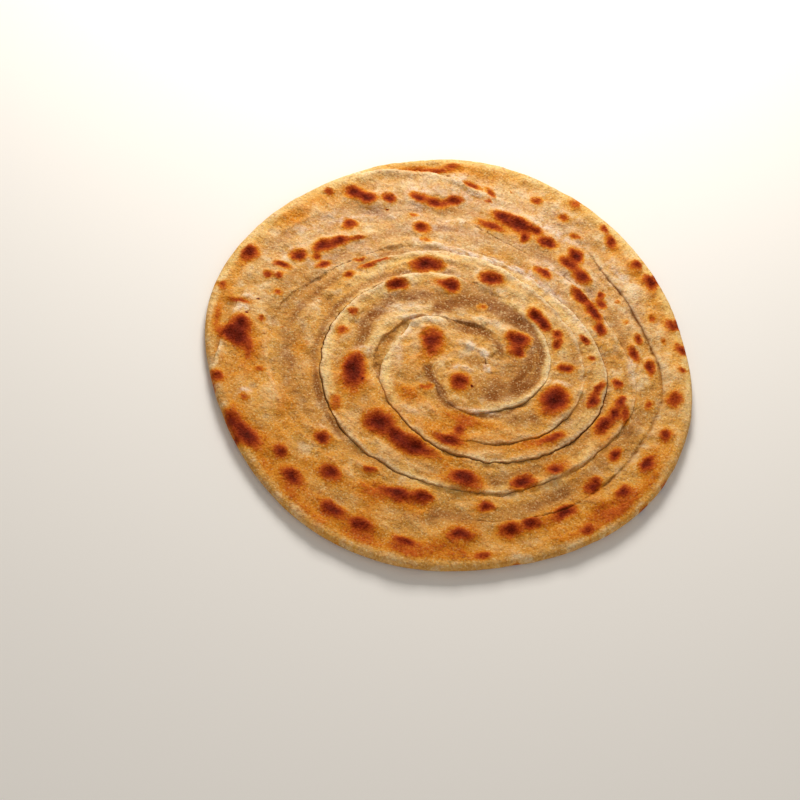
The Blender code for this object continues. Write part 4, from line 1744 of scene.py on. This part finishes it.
@dataclass(frozen=True)
class MattBoard:
    """Painted board with a dead matt face, which gives the eye an even pale ground."""

    name: str = "matt_painted_board"
    colour: str = "F0F1F2"
    roughness: float = 0.9

    def material(self) -> bpy.types.Material:
        """Makes the material.

        Returns:
            The material, ready to put on a mesh.
        """
        made = bpy.data.materials.new(self.name)
        made.use_nodes = True
        tree = made.node_tree
        tree.nodes.clear()
        paint = {"Base Color": srgb(self.colour), "Roughness": self.roughness}
        shader = add_node(tree, "ShaderNodeBsdfPrincipled", {}, paint).outputs["BSDF"]
        add_node(tree, "ShaderNodeOutputMaterial", {}, {"Surface": shader})
        return made


# ---------------------------------------------------------------- studio


@dataclass(frozen=True)
class Lamp:
    """A soft square lamp: where it stands and what it looks at, in metres, its side and its power."""

    name: str
    place: tuple[float, float, float]
    target: tuple[float, float, float]
    side: float
    watts: float
    colour: str = "FFFFFF"

    def build(self) -> None:
        """Adds the lamp to the scene."""
        data = bpy.data.lights.new(self.name, "AREA")
        data.shape = "SQUARE"
        data.size = self.side
        data.energy = self.watts
        data.color = srgb(self.colour)[:3]
        lamp = bpy.data.objects.new(self.name, data)
        lamp.location = self.place
        lamp.rotation_euler = (Vector(self.target) - Vector(self.place)).to_track_quat("-Z", "Y").to_euler()
        bpy.context.scene.collection.objects.link(lamp)


@dataclass(frozen=True)
class Studio:
    """A pale floor under soft light, and a camera that looks down on the bread.

    Lengths and places are in metres, the camera's lens and film in millimetres, and angles in degrees.
    """

    floor_side: float = 6.0
    sky: str = "FFF3E2"
    sky_strength: float = 0.31
    lamps: tuple[Lamp, ...] = (
        Lamp("key_lamp", (-0.08, 0.40, 0.32), (0.0, 0.0, 0.0), 0.20, 2.88, "FFF6EA"),
        Lamp("front_lamp", (0.25, -0.9, 0.9), (0.0, 0.0, 0.0), 0.9, 2.3),
    )
    focal_length: float = 100.0
    film_width: float = 36.0
    elevation: float = 56.625
    roll: float = 12.237
    distance: float = 0.80956
    aim: tuple[float, float, float] = (-0.01454, -0.02280, 0.0)

    def build(self) -> None:
        """Makes the floor, the light and the camera."""
        half = self.floor_side / 2
        corner = np.array([[-half, -half, 0], [half, -half, 0], [half, half, 0], [-half, half, 0]]) / MM
        floor = mesh_object("floor", corner, np.array([[0, 1, 2], [0, 2, 3]]), {})
        floor.data.materials.append(MattBoard().material())
        for lamp in self.lamps:
            lamp.build()
        world = bpy.data.worlds.new("soft_sky")
        world.use_nodes = True
        backdrop = world.node_tree.nodes["Background"]
        backdrop.inputs["Color"].default_value = srgb(self.sky)
        backdrop.inputs["Strength"].default_value = self.sky_strength
        bpy.context.scene.world = world
        bpy.context.scene.view_settings.view_transform = "Standard"
        self.add_camera()

    def add_camera(self) -> None:
        """Adds the camera: it stands back from its aim at the elevation, and is rolled about its own axis."""
        data = bpy.data.cameras.new("camera")
        data.lens = self.focal_length
        data.sensor_width = self.film_width
        camera = bpy.data.objects.new("camera", data)
        rise, roll = math.radians(self.elevation), math.radians(self.roll)
        back = Vector((0, -math.cos(rise), math.sin(rise)))
        level = Vector((1, 0, 0))
        upward = back.cross(level)
        right = level * math.cos(roll) + upward * math.sin(roll)
        up = upward * math.cos(roll) - level * math.sin(roll)
        axes = Matrix((right, up, back)).transposed()
        camera.matrix_world = Matrix.Translation(Vector(self.aim) + back * self.distance) @ axes.to_4x4()
        bpy.context.scene.collection.objects.link(camera)
        bpy.context.scene.camera = camera


# ---------------------------------------------------------------- making it


def main() -> None:
    """Builds the bread, then the studio round it."""
    logging.basicConfig(level=logging.INFO, format="%(name)s: %(message)s")
    piece = Bread().build(GriddledDough().material())
    LOG.info("%s: %d triangles", piece.name, len(piece.data.polygons))
    Studio().build()
    LOG.info("studio is ready")
    bpy.context.view_layer.update()


if __name__ == "__main__":
    main()
